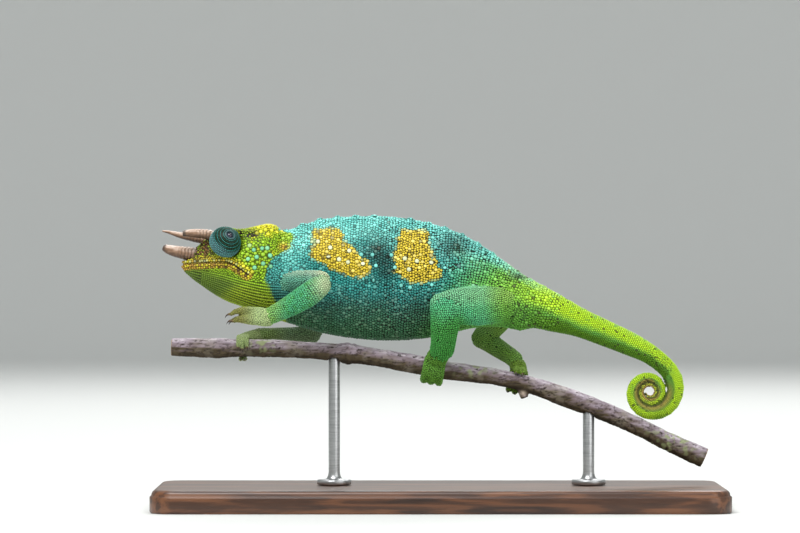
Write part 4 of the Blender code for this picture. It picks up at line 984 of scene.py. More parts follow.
def coat_tree():
    """Sets one turned and sized scale on each root and lays its patch on the unwrap."""
    tree = bpy.data.node_groups.new("scales on their roots", "GeometryNodeTree")
    for name, kind in (("Geometry", "Geometry"), ("Small scale", "Object"), ("Large scale", "Object"),
                       ("Finish", "Material"), ("Patch", "Float")):
        tree.interface.new_socket(name, in_out="INPUT", socket_type="NodeSocket" + kind)
    tree.interface.new_socket("Geometry", in_out="OUTPUT", socket_type="NodeSocketGeometry")
    given = add_node(tree, "NodeGroupInput").outputs

    def attribute(name, kind="FLOAT_VECTOR"):
        node = add_node(tree, "GeometryNodeInputNamedAttribute", {"Name": name}, data_type=kind)
        return node.outputs["Attribute"]

    axes = {"Primary Axis": attribute("out"), "Secondary Axis": attribute("along")}
    turn = add_node(tree, "FunctionNodeAxesToRotation", axes, primary_axis="Z", secondary_axis="X")
    large = attribute("large", "FLOAT")
    both = add_node(tree, "GeometryNodeJoinGeometry")
    for socket, limit in (("Small scale", "LESS_THAN"), ("Large scale", "GREATER_THAN")):
        scale = add_node(tree, "GeometryNodeObjectInfo", {"Object": given[socket]})
        pick = add_node(tree, "FunctionNodeCompare", {0: large, 1: 0.5}, data_type="FLOAT", operation=limit)
        place = add_node(tree, "GeometryNodeInstanceOnPoints", {
            "Points": given["Geometry"], "Selection": pick.outputs["Result"],
            "Instance": scale.outputs["Geometry"], "Rotation": turn.outputs["Rotation"],
            "Scale": attribute("size")})
        tree.links.new(place.outputs["Instances"], both.inputs["Geometry"])
    real = add_node(tree, "GeometryNodeRealizeInstances", {"Geometry": both.outputs["Geometry"]})
    spread = add_node(tree, "ShaderNodeVectorMath", {0: attribute("spot"), "Scale": given["Patch"]},
                      operation="SCALE")
    at = add_node(tree, "ShaderNodeVectorMath", {0: spread.outputs["Vector"], 1: attribute("root")},
                  operation="ADD")
    keep = add_node(tree, "GeometryNodeStoreNamedAttribute", data_type="FLOAT2", domain="CORNER", fed={
        "Geometry": real.outputs["Geometry"], "Name": "OFBake", "Value": at.outputs["Vector"]})
    dress = add_node(tree, "GeometryNodeSetMaterial", {
        "Geometry": keep.outputs["Geometry"], "Material": given["Finish"]})
    add_node(tree, "NodeGroupOutput", {"Geometry": dress.outputs["Geometry"]})
    return tree


def set_input(modifier, name, value):
    """Sets a modifier's input by its socket's identifier."""
    for item in modifier.node_group.interface.items_tree:
        if item.item_type == "SOCKET" and item.in_out == "INPUT" and item.name == name:
            modifier[item.identifier] = value


def store_vectors(mesh, name, rows):
    layer = mesh.attributes.new(name, "FLOAT_VECTOR", "POINT")
    layer.data.foreach_set("vector", np.asarray(rows, np.float32).ravel())


def root_places(spots, faces):
    """Where each root lies on the skin's unwrap."""
    flat = table(skin_mesh.uv_layers["OFBake"].data, "uv", 2)
    starts = table(skin_mesh.polygons, "loop_start", 1, int)[faces]
    corners = skin_spots[skin_quads[faces]]
    away = np.linalg.norm(corners - spots[:, None], axis=2)
    share = 1 / np.maximum(away, 1e-3)
    share /= share.sum(axis=1, keepdims=True)
    return (flat[starts + np.arange(4)] * share[..., None]).sum(axis=1)


SMALL_SCALE = [(1.0, -0.5, 0.0), (0.86, 0.4, 0.42)]
LARGE_SCALE = [(1.0, -0.4, 0.0), (0.9, 0.3, 0.35), (0.6, 0.8, 0.8)]
COAT_PATCH = 0.0015
SCALE_SPREAD = 0.5
SCALE_HEIGHT = 0.28

growing = coat_tree()
small_scale = granule("small_scale", 6, SMALL_SCALE)
large_scale = granule("large_scale", 10, LARGE_SCALE)


def grown(name, spots, out, ahead, size, root, numbers):
    """A coat piece: the scales of one part of the body as a plain mesh."""
    seed = bpy.data.meshes.new(name + "_roots")
    seed.from_pydata((spots * MM).tolist(), [], [])
    store_vectors(seed, "out", out)
    store_vectors(seed, "along", ahead)
    store_vectors(seed, "size", size * MM)
    store_vectors(seed, "root", np.column_stack([root, 0 * root[:, 0]]))
    store(seed, "large", size[:, 0] > 0.5 * BIG_FROM)
    for key, values in numbers.items():
        store(seed, key, values)
    holder = plain_object(name, seed)
    grow = holder.modifiers.new("scales", "NODES")
    grow.node_group = growing
    for socket, value in (("Small scale", small_scale), ("Large scale", large_scale),
                          ("Finish", hide), ("Patch", COAT_PATCH)):
        set_input(grow, socket, value)
    mesh = evaluated(holder, name)
    holder.modifiers.clear()
    holder.data = mesh
    for spare in ("out", "along", "size", "root", "spot", "large"):
        if spare in mesh.attributes:
            mesh.attributes.remove(mesh.attributes[spare])
    soften(mesh)
    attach(holder, "root")


owner = polygon_owner[faces]
numbers = markings(spots, owner)
luck = rng.random(len(spots))
blotch = numbers["ochre"] > 0.5
plain_trunk = among(owner, "torso", "neck", "tail_root") & ~blotch
pale_stud = np.isin(hues, ("cream", "turquoise")) & (spots[:, 0] > -60)
pale_lip = np.isin(hues, ("cream", "yellow")) & (spots[:, 0] < -66)


def painted(pigment, chosen, strength):
    """Gives the chosen scales a pigment at one strength."""
    numbers[pigment] = np.where(chosen, strength, numbers[pigment])


for name in numbers:
    if name not in ("yellow", "soft"):
        painted(name, pale_stud, 0.0)
for hue, strength in (("cream", 0.9), ("turquoise", 0.55), ("amber", 0.75), ("yellow", 0.75), ("tan", 0.75)):
    painted(hue, hues == hue, strength)
painted("amber", pale_lip, 0.2)
painted("ochre", (hues == "cream") & blotch, 0.25)
painted("apple", hues == "leaf", 0.2)
painted("leaf", hues == "leaf", 0.4)
painted("turquoise", hues == "leaf", 0.7)
painted("night", plain_trunk & (luck < 0.05), 0.7)
broad = (wide > 1.2) & among(owner, "torso", "neck")
broad |= (wide > 0.98) & among(owner, "arm_left_lower", "leg_left")
numbers["pearl"] = 0.03 * (broad & ~blotch) + 0.12 * (blotch & (wide > 1.2)) + 0.3 * (hues == "cream")
snout = numbers["tan"] > 0.3
painted("tan", snout & (luck > 0.66), 0.3)
painted("umber", snout & (luck < 0.3), 0.75)
painted("umber", (numbers["umber"] > 0.3) & (spots[:, 2] > 92) & (luck > 0.5), 0.2)
painted("umber", among(owner, "tail") & (luck < 0.02), 0.8)
painted("umber", blotch & (luck < 0.07), 0.6)
# The strength of the painted highlight on each scale's crown, at random.
numbers["tint"] = rng.random(len(spots)) ** 2
size = np.stack([SCALE_SPREAD * wide, SCALE_SPREAD * wide, np.minimum(SCALE_HEIGHT, 0.4 * wide)], 1)
jaw = among(owner, "lower_jaw") & (hues == "")
size[:, 0] *= 1 + 0.1 * (hues == "") + 0.12 * jaw
size[:, 1] *= 1 - 0.14 * jaw
root = root_places(spots, faces)

PIECES = {
    "coat_head": ("head", "lower_jaw"),
    "coat_front": ("neck", "torso_front"),
    "coat_rear": ("torso_rear", "tail_root"),
    "coat_tail": ("tail_upper", "tail_middle", "tail_coil"),
    "coat_arms": ("arm",),
    "coat_legs": ("leg",),
}
for name, names in PIECES.items():
    member = among(owner, *names)
    for side, half in (("left", spots[:, 1] < 0), ("right", spots[:, 1] >= 0)):
        chosen = np.nonzero(member & half)[0]
        part = {key: values[chosen] for key, values in numbers.items()}
        grown(f"{name}_{side}", spots[chosen], out[chosen], ahead[chosen], size[chosen], root[chosen], part)

# Eyes
# Each eye is a ball under one thick lid, grown together into a cone of fine scales in rings. Only a
# small round opening is left near its top, where the glossy dark ball shows.
LID_RADIUS = 5.42
LID_BACK = -1.6
LID_OPENING = 1.28
LID_RIM = 0.3
LID_RING = 0.6
LID_SCALES = (0.33, 1.86)
LID_CLEAR = 0.3
BALL_MIDDLE = 4.2
BALL_RADIUS = 1.5
BALL_ALONG = 0.85
BALL_ACROSS = 0.78


def closed_mesh(name, corners, faces):
    """A mesh from corners in millimetres, with its faces turned out and shaded smooth."""
    mesh = bpy.data.meshes.new(name)
    mesh.from_pydata((np.asarray(corners) * MM).tolist(), [], faces)
    work = bmesh.new()
    work.from_mesh(mesh)
    bmesh.ops.recalc_face_normals(work, faces=work.faces)
    work.to_mesh(mesh)
    work.free()
    soften(mesh)
    return mesh


def turned(name, profile, origin, axis, sides):
    """A closed solid turned round an axis. Profile is height and radius from pole to pole."""
    axis = Vector(axis).normalized()
    side = axis.orthogonal().normalized()
    other = axis.cross(side)
    corners, faces, rings = [], [], []
    for height, radius in profile:
        count = 1 if radius == 0 else sides
        rings.append(list(range(len(corners), len(corners) + count)))
        for k in range(count):
            turn = tau * k / sides
            out = side * cos(turn) + other * sin(turn)
            corners.append(Vector(origin) + axis * height + out * radius)
    for low, high in zip(rings, rings[1:]):
        for k in range(sides):
            a, b = low[k % len(low)], low[(k + 1) % len(low)]
            c, d = high[(k + 1) % len(high)], high[k % len(high)]
            faces.append([v for i, v in enumerate((a, b, c, d)) if v not in (a, b, c, d)[:i]])
    return closed_mesh(name, corners, faces)


def lid_profile():
    opening = asin((LID_OPENING + LID_RIM) / LID_RADIUS)
    back = acos(LID_BACK / LID_RADIUS)
    rows = [(LID_BACK, 0), (LID_BACK, 0.6 * LID_RADIUS * sin(back))]
    rows += [(LID_RADIUS * cos(t), LID_RADIUS * sin(t)) for t in np.linspace(back, opening, 40)]
    crest = LID_RADIUS * cos(opening)
    rows += [(crest + 0.12, LID_OPENING + 0.6 * LID_RIM), (crest + 0.1, LID_OPENING + 0.25 * LID_RIM),
             (crest - 0.1, LID_OPENING), (crest - 0.6, LID_OPENING),
             (crest - 1.4, 0.8 * LID_OPENING), (crest - 1.4, 0)]
    return rows


def lid_colours(turn, around):
    """Pigments of a lid from the angle off its axis and the angle round it."""
    base = step(turn + 0.12 * np.cos(2 * around), 1.0, 1.35)
    return {
        "pine": 1.0 - 0.75 * base,
        "slate": 0.8 * base + 0.6 * (1 - step(turn, 0.34, 0.4)),
    }


def lid_map(turn, around):
    """Where a spot of a lid lies on its round unwrap."""
    reach = 0.48 * turn / pi
    return np.stack([0.5 + reach * np.cos(around), 0.5 + reach * np.sin(around)], 1)


def eye_lid(name, side):
    origin = Vector((EYE[0], side * EYE[1], EYE[2]))
    axis = Vector((EYE_AIM[0], side * EYE_AIM[1], EYE_AIM[2])).normalized()
    across = axis.orthogonal().normalized()
    other = axis.cross(across)
    mesh = turned(name, lid_profile(), origin, axis, 64)
    away = spots_of(mesh) - np.array(origin)
    turn = np.arccos(np.clip(unit(away) @ np.array(axis), -1, 1))
    around = np.arctan2(away @ np.array(other), away @ np.array(across))
    for key, values in lid_colours(turn, around).items():
        store(mesh, key, values)
    # The lid's sheet takes the painted shade between its scales, a little less of it next to the opening.
    store(mesh, "crown", np.where(turn < LID_CLEAR, 0.3, 0.08))
    uv = mesh.uv_layers.new(name="OFBake")
    places = lid_map(turn, around)
    for loop in mesh.loops:
        uv.data[loop.index].uv = places[loop.vertex_index]
    mesh.materials.append(hide)
    lid = plain_object(name, mesh)
    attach(lid, "root")
    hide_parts(name.replace("lid", "eye_turret"))
    lid_rings = []
    for row, t in enumerate(np.arange(*LID_SCALES, LID_RING / LID_RADIUS)):
        wide = LID_RING * (0.85 + 0.3 * step(t, 0.6, 1.5))
        count = round(tau * LID_RADIUS * sin(t) / (wide * 1.1))
        for k in range(count):
            around = tau * (k + 0.5 * (row % 2)) / count
            lid_rings.append((t, around, wide * rng.uniform(0.85, 1.05), row % 2))
    turns, arounds, widths, light_row = np.array(lid_rings).T
    shades = lid_colours(turns, arounds)
    for key in shades:
        shades[key] = np.clip(shades[key] + rng.uniform(-0.12, 0.12, len(turns)), 0, 1)
    # The painted highlight on each lid scale, much stronger on every other row so that the rows show as pale
    # rings.
    shades["tint"] = 0.4 * rng.random(len(turns)) + 1.1 * light_row
    shades["pine"] *= 1 - 0.55 * light_row
    shades["slate"] *= 1 - 0.3 * light_row
    out = np.outer(np.cos(arounds), across) + np.outer(np.sin(arounds), other)
    out = np.outer(np.cos(turns), axis) + out * np.sin(turns)[:, None]
    sizes = np.outer(widths, (0.36, 0.6, 0.3))
    lie = np.tile(axis, (len(turns), 1))
    grown(name.replace("lid", "coat_eye"), np.array(origin) + out * LID_RADIUS, out, lie, sizes,
          lid_map(turns, arounds), shades)
    return origin, axis


def eye_finish():
    """Dark violet and glossy, with a painted highlight as a pale ring at its edge."""
    material, tree, shader = new_finish("eye", 0.08)
    # Painted highlight: the colour turns pale grey-violet towards the ball's edge.
    colour = ramped(tree, read_number(tree, "ring"), [
        (0.0, (0.004, 0.003, 0.012, 1)), (0.7, (0.006, 0.004, 0.02, 1)), (0.8, (0.03, 0.018, 0.06, 1)),
        (0.92, (0.14, 0.1, 0.2, 1)), (1.0, (0.3, 0.28, 0.34, 1))])
    tree.links.new(colour, shader.inputs["Base Color"])
    shader.inputs["Coat Weight"].default_value = 1.0
    shader.inputs["Coat Roughness"].default_value = 0.03
    return material


eye_gloss = eye_finish()
for name, side in (("left", -1), ("right", 1)):
    origin, axis = eye_lid(f"lid_{name}", side)
    centre = origin + axis * BALL_MIDDLE
    high, wide = BALL_RADIUS * BALL_ALONG, BALL_RADIUS * BALL_ACROSS
    rows = [(high * cos(t), wide * sin(t)) for t in np.linspace(pi, 0, 25)]
    rows[0], rows[-1] = (rows[0][0], 0), (rows[-1][0], 0)
    ball_mesh = turned(f"eye_{name}", rows, centre, axis, 40)
    away = spots_of(ball_mesh) - np.array(centre)
    off_axis = away - np.outer(away @ np.array(axis), axis)
    # The ring number runs from the ball's axis out to its edge, where the finish paints its highlight.
    store(ball_mesh, "ring", np.linalg.norm(off_axis, axis=1) / wide)
    ball_mesh.materials.append(eye_gloss)
    ball = plain_object(f"eye_{name}", ball_mesh)
    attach(ball, "root")
    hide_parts(f"eyeball_{name}")
bpy.data.objects.remove(small_scale)
bpy.data.objects.remove(large_scale)

# Horns
# Three stout horns of solid horn stand on bony cores, one on the snout and one above each eye. They
# are cracked into rings near their roots and worn blunt at their tips, with a painted highlight on
# top and painted shade below.
HORNS = {
    "horn_nose": [(-84.0, 0.0, 88.0, 2.7), (-87.0, 0.0, 88.9, 2.55), (-90.0, 0.0, 89.4, 2.25),
                  (-93.4, 0.0, 90.1, 1.9), (-96.2, 0.0, 91.0, 1.35), (-97.0, 0.0, 91.3, 0.7)],
    "horn_brow_left": [(-78.6, -4.2, 95.0, 1.8), (-81.2, -4.4, 95.8, 1.75), (-84.5, -4.6, 96.1, 1.6),
                       (-87.5, -4.8, 96.2, 1.35), (-89.8, -5.0, 96.1, 0.95)],
    "horn_brow_right": [(-78.8, 4.0, 92.9, 1.7), (-82.0, 4.6, 93.7, 1.5), (-86.5, 5.1, 94.6, 1.35),
                        (-90.8, 5.3, 95.5, 1.1), (-95.0, 5.3, 96.6, 0.6), (-97.5, 5.3, 97.1, 0.28)],
}
HORN_TIPS = {"horn_nose": 0.9, "horn_brow_left": 0.88, "horn_brow_right": 1.2}
HORN_PITCH = 1.15
HORN_SIDES = 36
HORN_ROWS = 110
GROOVE_DEPTH, GROOVE_WIDE = 0.085, 0.13
HORN_ROUGH = 0.03


def tube_mesh(name, line, radii, sides):
    """A closed tube along a line; radii gives each row's radius at each of its sides."""
    ways = unit(np.gradient(line, axis=0))
    side = unit(np.cross(ways, (0.0, 1.0, 0.0)))
    other = np.cross(ways, side)
    turns = np.linspace(0, tau, sides, endpoint=False)[:, None]
    ring_out = side[:, None] * np.cos(turns) + other[:, None] * np.sin(turns)
    corners = (line[:, None] + ring_out * radii[..., None]).reshape(-1, 3)
    corners = np.concatenate([corners, line[:1], line[-1:]])
    faces = []
    for row in range(len(line) - 1):
        for k in range(sides):
            a, b = row * sides + k, row * sides + (k + 1) % sides
            faces.append((a, b, b + sides, a + sides))
    first, last = len(corners) - 2, len(corners) - 1
    end = (len(line) - 1) * sides
    faces += [(first, (k + 1) % sides, k) for k in range(sides)]
    faces += [(last, end + k, end + (k + 1) % sides) for k in range(sides)]
    return closed_mesh(name, corners, faces)


def horn_finish():
    material, tree, shader = new_finish("horn", 0.42)
    streak = noise_on(tree, 900.0, 5.0, (0.25, 1, 1))
    # The upper number paints shade on the horn's underside and a highlight on its top.
    level = swayed(tree, read_number(tree, "upper"), streak, 0.7)
    colour = ramped(tree, level, [(0.0, "#33200f"), (0.3, "#5d412c"), (0.55, "#8e6e56"), (0.8, "#bfa38f"),
                                  (1.0, "#dccabc")])
    colour = blended(tree, read_number(tree, "crack"), colour, ink("#38261a"))
    colour = blended(tree, read_number(tree, "worn"), colour, ink("#2c2019"))
    tree.links.new(colour, shader.inputs["Base Color"])
    bumped(tree, shader, streak, 0.4, 0.06)
    return material


horn_gloss = horn_finish()
for name, stations in HORNS.items():
    rows = smooth_line(stations, np.linspace(0, len(stations) - 1, HORN_ROWS))
    line = rows[:, :3]
    run = run_of(line)
    share = run / run[-1]
    turns = np.linspace(0, tau, HORN_SIDES, endpoint=False)
    ring_at = run[:, None] / HORN_PITCH + 0.22 * np.sin(turns * 2 + 1.3) + 0.12 * np.sin(turns * 5)
    groove = np.exp(-((ring_at % 1 - 0.5) / GROOVE_WIDE) ** 2) * (1 - step(share, 0.42, 0.68))[:, None]
    round_it = 2 * np.stack([0 * turns, np.cos(turns), np.sin(turns)], 1)
    wander = broken((line[:, None] + round_it).reshape(-1, 3), 0.9, 5).reshape(HORN_ROWS, HORN_SIDES)
    radii = rows[:, 3:4] * (1 - GROOVE_DEPTH * groove + HORN_ROUGH * wander)
    mesh = tube_mesh(name + "_piece", line, radii, HORN_SIDES)
    ends = [0.0, 0.0]
    # Painted highlight and shade: paler where the horn faces up, darker where it faces down.
    upward = table(mesh.vertices, "normal")[:, 2]
    store(mesh, "upper", upward * 0.42 + 0.54 + np.concatenate([0.1 * wander.ravel(), ends]))
    store(mesh, "crack", np.concatenate([0.75 * groove.ravel(), ends]))
    worn = 0.8 * step(share, HORN_TIPS[name], HORN_TIPS[name] + 0.06)
    store(mesh, "worn", np.concatenate([np.repeat(worn, HORN_SIDES), [0.0, worn[-1] * 0.4]]))
    mesh.materials.append(horn_gloss)
    piece = plain_object(name + "_piece", mesh)
    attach(piece, "root")
    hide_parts(name)

# Claws
# Each digit ends in one thin curved claw of dark horn, set into the flesh at its root. The gripping
# feet hold the bark with theirs, and the raised hand's hang down.
LIFTED = ((-1, 0, -0.15), (0, 0, -1))
FIRST, MIDDLE, BEHIND = (((0, -0.22, -0.97), (0, 0.49, -0.11)), ((0, -0.09, -1), (0, 0.5, -0.04)),
                         ((0, -1, 0.02), (0.01, 0.01, 0.5)))
CLAWS = {
    "hand_left": [((-73.25, -15.29, 68.05), LIFTED), ((-73.25, -13.31, 68.05), LIFTED),
                  ((-71.9, -16.28, 65.8), LIFTED), ((-72.8, -14.3, 65.8), LIFTED),
                  ((-71.9, -12.32, 65.8), LIFTED)],
    "hand_right": [((-70.61, -4.01, 56.5), FIRST), ((-69.0, -4.03, 55.93), MIDDLE),
                   ((-67.37, -4.01, 56.46), FIRST), ((-69.86, -0.54, 52.06), BEHIND),
                   ((-68.24, -0.54, 52.04), BEHIND)],
    "foot_left": [((-5.77, 0.07, 44.81), ((-0.03, 0.99, -0.16), (0.09, 0.08, 0.48))),
                  ((-3.11, 0.73, 44.36), ((-0.01, 1, -0.03), (0.09, 0.02, 0.49))),
                  ((-0.47, 0.07, 43.81), ((-0.03, 0.99, -0.16), (0.09, 0.08, 0.48))),
                  ((-4.12, 3.78, 46.28), ((-0.16, -0.5, -0.85), (0.05, -0.43, 0.24))),
                  ((-1.47, 3.78, 45.78), ((-0.16, -0.5, -0.85), (0.05, -0.43, 0.24)))],
    "foot_right": [((26.58, -2.9, 47.68), ((-0.12, -0.85, -0.52), (-0.09, 0.27, -0.41))),
                   ((28.82, -2.9, 47.18), ((-0.12, -0.85, -0.52), (-0.09, 0.27, -0.41))),
                   ((23.91, 1.98, 41.01), ((-0.13, -0.8, -0.59), (0.09, -0.3, 0.39))),
                   ((26.11, 1.49, 40.3), ((-0.11, -0.87, -0.49), (0.09, -0.25, 0.42))),
                   ((28.4, 1.98, 40.01), ((-0.13, -0.8, -0.59), (0.09, -0.3, 0.39)))],
}
CLAW_RADIUS = {"hand_left": 0.42, "hand_right": 0.4, "foot_left": 0.52, "foot_right": 0.46}
CLAW_LENGTH = 1.9
CLAW_SUNK = 0.35
CLAW_BEND = 0.6
CLAW_ROWS, CLAW_SIDES = 12, 12


def claw_finish():
    material, tree, shader = new_finish("claw", 0.3)
    grain_of = noise_on(tree, 1400.0, 3.0)
    level = swayed(tree, read_number(tree, "along"), grain_of, 0.5)
    colour = ramped(tree, level, [(0.0, "#6a5030"), (0.25, "#3a2818"), (0.7, "#1e140e"), (1.0, "#120c08")])
    tree.links.new(colour, shader.inputs["Base Color"])
    bumped(tree, shader, grain_of, 0.3, 0.03)
    return material


claw_gloss = claw_finish()
for name, places in CLAWS.items():
    work = bmesh.new()
    along = []
    for root_spot, (way, down) in places:
        t = np.linspace(-CLAW_SUNK, 1, CLAW_ROWS)
        ahead_t = np.clip(t, 0, 1)
        line = (np.array(root_spot) + np.outer(CLAW_LENGTH * t * (1 - 0.25 * ahead_t), way)
                + np.outer(CLAW_LENGTH * CLAW_BEND * ahead_t**2, down))
        thick = CLAW_RADIUS[name] * (1 - 0.93 * ahead_t**0.9)
        one = tube_mesh("claw", line, np.tile(thick[:, None], CLAW_SIDES), CLAW_SIDES)
        work.from_mesh(one)
        along += [*np.repeat(ahead_t, CLAW_SIDES), 0.0, 1.0]
        bpy.data.meshes.remove(one)
    mesh = mesh_from(work, "claws_" + name)
    store(mesh, "along", along)
    soften(mesh)
    mesh.materials.append(claw_gloss)
    claws = plain_object("claws_" + name, mesh)
    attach(claws, "root")

# Perch
# The perch is a short cut length of a living branch: thin lilac-grey bark, darker below as painted
# shade and paler on top as a painted highlight, with pale lenticels, cracked ridges, a knot ring, a
# broken twig's stub, spots of lichen and sawn ends.
BARK_VOXEL = 0.4
BARK_DEPTH = 0.2
BARK_ROUNDS = 24
KNOT_HEIGHT = 0.3
PERCH_ENDS = (-93.8, 91.4)
KNOT_X = -32.5
SCAR = (29.0, 40.2)
LICHEN = [(-62, 57.5, 5, 3), (12, 49, 6, 3), (82, 24, 9, 6)]
HEART_HEIGHTS = (56.4, 18.0)


def bark_finish():
    material, tree, shader = new_finish("bark", 0.85)
    fibre = noise_on(tree, 700.0, 6.0, (0.18, 1, 1))
    patchy = noise_on(tree, 130.0, 4.0)
    # The upper number paints shade on the bark's underside and a highlight on its top.
    level = swayed(tree, read_number(tree, "upper"), fibre, 0.9)
    colour = ramped(tree, level, [(0.0, "#2b2312"), (0.32, "#50442f"), (0.55, "#726366"), (0.8, "#9c8f99"),
                                  (1.0, "#cbc1c8")])
    blotches = sum_of(tree, "MULTIPLY", spread_over(tree, patchy, 0.55, 0.7), 0.45)
    colour = blended(tree, blotches, colour, ink("#8d8576"))
    for name, code in (("lenticel", "#2e221d"), ("lichen", "#8f9a6a"), ("scar", "#c9b7a4")):
        colour = blended(tree, read_number(tree, name), colour, ink(code))
    rings = sum_of(tree, "SINE", sum_of(tree, "MULTIPLY", read_number(tree, "heart"), 9.0))
    pale = blended(tree, sum_of(tree, "MULTIPLY_ADD", rings, 0.25, 0.5), ink("#c7a878"), ink("#8f6a42"))
    colour = blended(tree, read_number(tree, "sawn"), colour, pale)
    tree.links.new(colour, shader.inputs["Base Color"])
    bumped(tree, shader, fibre, 0.8, 0.2)
    return material


def perch_bark():
    fine = remeshed("perch_bark", *joined_node("perch"), BARK_VOXEL)
    spots = spots_of(fine)
    x = spots[:, 0]
    from_end = np.minimum(x - PERCH_ENDS[0], PERCH_ENDS[1] - x)
    rims = step(from_end, 0.6, 1.6)
    spots = smoothed(spots, table(fine.edges, "vertices", 2, int), rims, BARK_ROUNDS)
    set_spots(fine, spots)
    normals = table(fine.vertices, "normal")
    drawn = spots * (0.22, 1, 1)
    ridges = np.abs(broken(drawn, 0.9, 7))
    lumps = broken(spots, 3.0, 8)
    knot = np.exp(-((x - KNOT_X) / 0.9) ** 2) - 0.7 * np.exp(-((x - KNOT_X - 1.6) / 0.5) ** 2)
    cracks = ridges < 0.06
    rise = BARK_DEPTH * (0.9 * lumps - 1.9 * cracks + 0.7 * broken(spots, 0.8, 9)) + KNOT_HEIGHT * knot
    sawn = (np.abs(normals[:, 0]) > 0.75) & ((x < PERCH_ENDS[0] + 1.2) | (x > PERCH_ENDS[1] - 1.2))
    set_spots(fine, spots + normals * (np.clip(rise, -0.45, 0.3) * rims)[:, None])
    # Painted highlight and shade: paler where the bark faces up, darker where it faces down; lumps vary it.
    store(fine, "upper", 0.46 + 0.46 * normals[:, 2] + 0.14 * lumps)
    lens = broken(spots * (0.5, 1, 1), 0.75, 10)
    store(fine, "lenticel", 0.75 * step(lens, 0.36, 0.5) * (normals[:, 2] > -0.5) + 0.6 * (ridges < 0.05))
    near = sum(lobe(x, spots[:, 2], *patch) for patch in LICHEN)
    store(fine, "lichen", np.clip(near * step(broken(spots, 1.5, 11), 0.0, 0.35) * 0.85, 0, 1))
    store(fine, "scar", 0.85 * lobe(x, spots[:, 2], *SCAR, 1.1, 0.9))
    store(fine, "sawn", sawn.astype(float))
    store(fine, "heart", np.hypot(spots[:, 1], spots[:, 2] - np.where(x < 0, *HEART_HEIGHTS)))
    fine.materials.clear()
    fine.materials.append(bark_finish())
    soften(fine)
    perch = plain_object("perch_bark", fine)
    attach(perch, "root")
    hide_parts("perch")


perch_bark()

# Stand
# The display stand is a hardwood base with a softened, routed edge and two turned steel rods. Each
# rod is screwed to the base through its foot and let into the underside of the perch.
BASE_LENGTH = 200.0
BASE_WIDTH = 76.0
BASE_CORNER = 9.0
BASE_PROFILE = [(0.0, 0.5), (0.35, 0.12), (0.8, 0.0), (5.4, 0.0), (5.7, 0.12), (5.85, 0.5), (6.1, 0.62),
                (6.9, 0.75), (7.5, 1.15), (7.85, 1.75), (8.0, 2.5)]
ROD_LOW = 8.3
ROD_FOOT = [(0, 0), (0, 5.7), (0.08, 5.86), (0.3, 6.0), (1.2, 6.0), (1.5, 5.93), (1.7, 5.75), (1.8, 5.5),
            (1.86, 3.3), (1.95, 2.95), (2.3, 2.62), (2.8, 2.35), (3.5, 2.12), (4.0, 2.04), (4.6, 2.0)]
ROD_TIP = [(-0.25, 2.0), (-0.05, 1.9), (0, 1.7), (0, 0)]
RODS = {"stand_rod_front": (-37.0, 53.5), "stand_rod_rear": (52.0, 34.5)}


def wood_finish():
    material, tree, shader = new_finish("oiled hardwood", 0.38)
    grain_of = noise_on(tree, 160.0, 7.0, (0.06, 1, 0.6))
    pores = noise_on(tree, 1500.0, 2.0, (0.04, 1, 1))
    wave = sum_of(tree, "SINE", sum_of(tree, "MULTIPLY", grain_of, 46.0))
    level = sum_of(tree, "ADD", sum_of(tree, "MULTIPLY", wave, 0.16), grain_of)
    colour = ramped(tree, level, [(0.2, "#2f1c11"), (0.45, "#4b2d1b"), (0.65, "#6a4228"), (0.9, "#835536")])
    dark = sum_of(tree, "MULTIPLY", spread_over(tree, pores, 0.42, 0.3), 0.6)
    colour = blended(tree, dark, colour, ink("#1d110a"))
    tree.links.new(colour, shader.inputs["Base Color"])
    bumped(tree, shader, pores, 0.25, 0.05)
    shader.inputs["Coat Weight"].default_value = 0.25
    shader.inputs["Coat Roughness"].default_value = 0.25
    return material


def base_outline(inset):
    """The base's outline in plan, drawn in by the inset."""
    corners = []
    for k in range(4):
        x = (BASE_LENGTH / 2 - BASE_CORNER) * (1 if k in (0, 3) else -1)
        y = (BASE_WIDTH / 2 - BASE_CORNER) * (1 if k in (0, 1) else -1)
        for t in np.linspace(0, pi / 2, 13):
            turn = pi / 2 * k + t
            corners.append((x + (BASE_CORNER - inset) * cos(turn), y + (BASE_CORNER - inset) * sin(turn)))
    return corners


def wood_base():
    work = bmesh.new()
    loops = [[work.verts.new((x * MM, y * MM, z * MM)) for x, y in base_outline(inset)]
             for z, inset in BASE_PROFILE]
    for low, high in zip(loops, loops[1:]):
        for k in range(len(low)):
            n = (k + 1) % len(low)
            work.faces.new((low[k], low[n], high[n], high[k]))
    work.faces.new(loops[0][::-1])
    work.faces.new(loops[-1])
    mesh = mesh_from(work, "wood_base")
    mesh.polygons.foreach_set("use_smooth", [len(p.vertices) == 4 for p in mesh.polygons])
    mesh.materials.append(wood_finish())
    base = plain_object("wood_base", mesh)
    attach(base, "root")
    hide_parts("stand_base")


def steel_finish():
    material, tree, shader = new_finish("brushed steel", 0.34)
    lines = noise_on(tree, 2600.0, 3.0, (0.08, 0.08, 1))
    colour = ramped(tree, lines, [(0.3, "#a9aaab"), (0.5, "#b8b9ba"), (0.7, "#c4c5c5")])
    tree.links.new(colour, shader.inputs["Base Color"])
    shader.inputs["Metallic"].default_value = 1.0
    rough = add_node(tree, "ShaderNodeMapRange", {"Value": lines, "To Min": 0.3, "To Max": 0.4})
    tree.links.new(rough.outputs["Result"], shader.inputs["Roughness"])
    bumped(tree, shader, lines, 0.04, 0.01)
    return material


wood_base()
steel = steel_finish()
for name, (x, top) in RODS.items():
    profile = [(ROD_LOW + h, r) for h, r in ROD_FOOT] + [(top + h, r) for h, r in ROD_TIP]
    mesh = turned(name + "_piece", profile, (x, 0, 0), (0, 0, 1), 64)
    mesh.materials.append(steel)
    rod = plain_object(name + "_piece", mesh)
    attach(rod, "root")
    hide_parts(name)

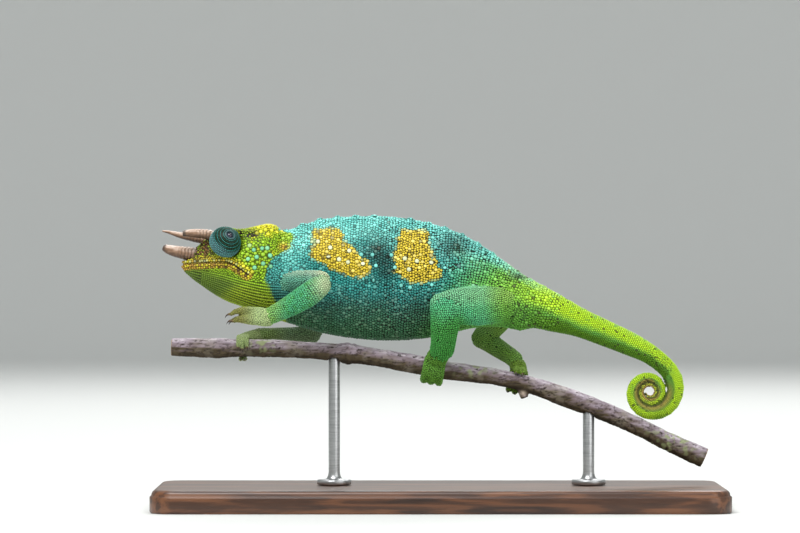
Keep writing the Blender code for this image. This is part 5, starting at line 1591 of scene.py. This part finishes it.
# Floor, light and camera
# A plain pale floor that curves up far away, soft studio light and the photograph's level side view.
FLOOR_FLAT = 2.4
FLOOR_BEND = 0.8
FLOOR_TOP = 2.6
FLOOR_SIDES = 96
FLOOR_DROP = 0.00002
FLOOR_COLOUR = (0.74, 0.75, 0.73, 1)
LIGHTS = [("key_light", (-0.4, -0.75, 1.35), 0.8, 21), ("fill_light", (0.9, -1.0, 0.6), 1.0, 5),
          ("back_light", (0.2, 1.2, 1.2), 0.9, 13)]
LIGHTS_AIM = (0, 0, 0.08)
AIR_COLOUR = (0.94, 0.97, 1.0, 1)
AIR_STRENGTH = 0.55
CAMERA_PLACE = (-0.014, -1.5, 0.0846)
PHOTO_WIDTH = 0.28
SENSOR_WIDTH = 36


def studio_floor():
    work = bmesh.new()
    profile = [(FLOOR_FLAT, 0.0)]
    profile += [(FLOOR_FLAT + FLOOR_BEND * sin(a), FLOOR_BEND - FLOOR_BEND * cos(a))
                for a in np.linspace(0.1, pi / 2, 12)]
    profile.append((FLOOR_FLAT + FLOOR_BEND, FLOOR_TOP))
    rings = []
    for radius, height in profile:
        rings.append([work.verts.new((radius * cos(a), radius * sin(a), height - FLOOR_DROP))
                      for a in np.linspace(0, tau, FLOOR_SIDES, endpoint=False)])
    middle = work.verts.new((0, 0, -FLOOR_DROP))
    for k in range(FLOOR_SIDES):
        n = (k + 1) % FLOOR_SIDES
        work.faces.new((middle, rings[0][k], rings[0][n]))
        for low, high in zip(rings, rings[1:]):
            work.faces.new((low[k], high[k], high[n], low[n]))
    mesh = mesh_from(work, "studio_floor")
    soften(mesh)
    material, _, shader = new_finish("studio floor", 0.9)
    shader.inputs["Base Color"].default_value = FLOOR_COLOUR
    mesh.materials.append(material)
    plain_object("studio_floor", mesh)


studio_floor()
for name, place, size, power in LIGHTS:
    lamp = bpy.data.lights.new(name, "AREA")
    lamp.shape = "SQUARE"
    lamp.size = size
    lamp.energy = power
    holder = plain_object(name, lamp)
    holder.location = place
    holder.rotation_euler = (Vector(LIGHTS_AIM) - Vector(place)).to_track_quat("-Z", "Y").to_euler()
world = bpy.data.worlds.new("studio air")
world.use_nodes = True
air = world.node_tree.nodes["Background"].inputs
air["Color"].default_value = AIR_COLOUR
air["Strength"].default_value = AIR_STRENGTH
bpy.context.scene.world = world
bpy.context.scene.view_settings.view_transform = "Standard"

camera_data = bpy.data.cameras.new("camera")
camera_data.sensor_width = SENSOR_WIDTH
camera_data.lens = SENSOR_WIDTH * -CAMERA_PLACE[1] / PHOTO_WIDTH
camera_data.clip_start = 0.05
camera = plain_object("camera", camera_data)
camera.location = CAMERA_PLACE
camera.rotation_euler = (pi / 2, 0, 0)
bpy.context.scene.camera = camera
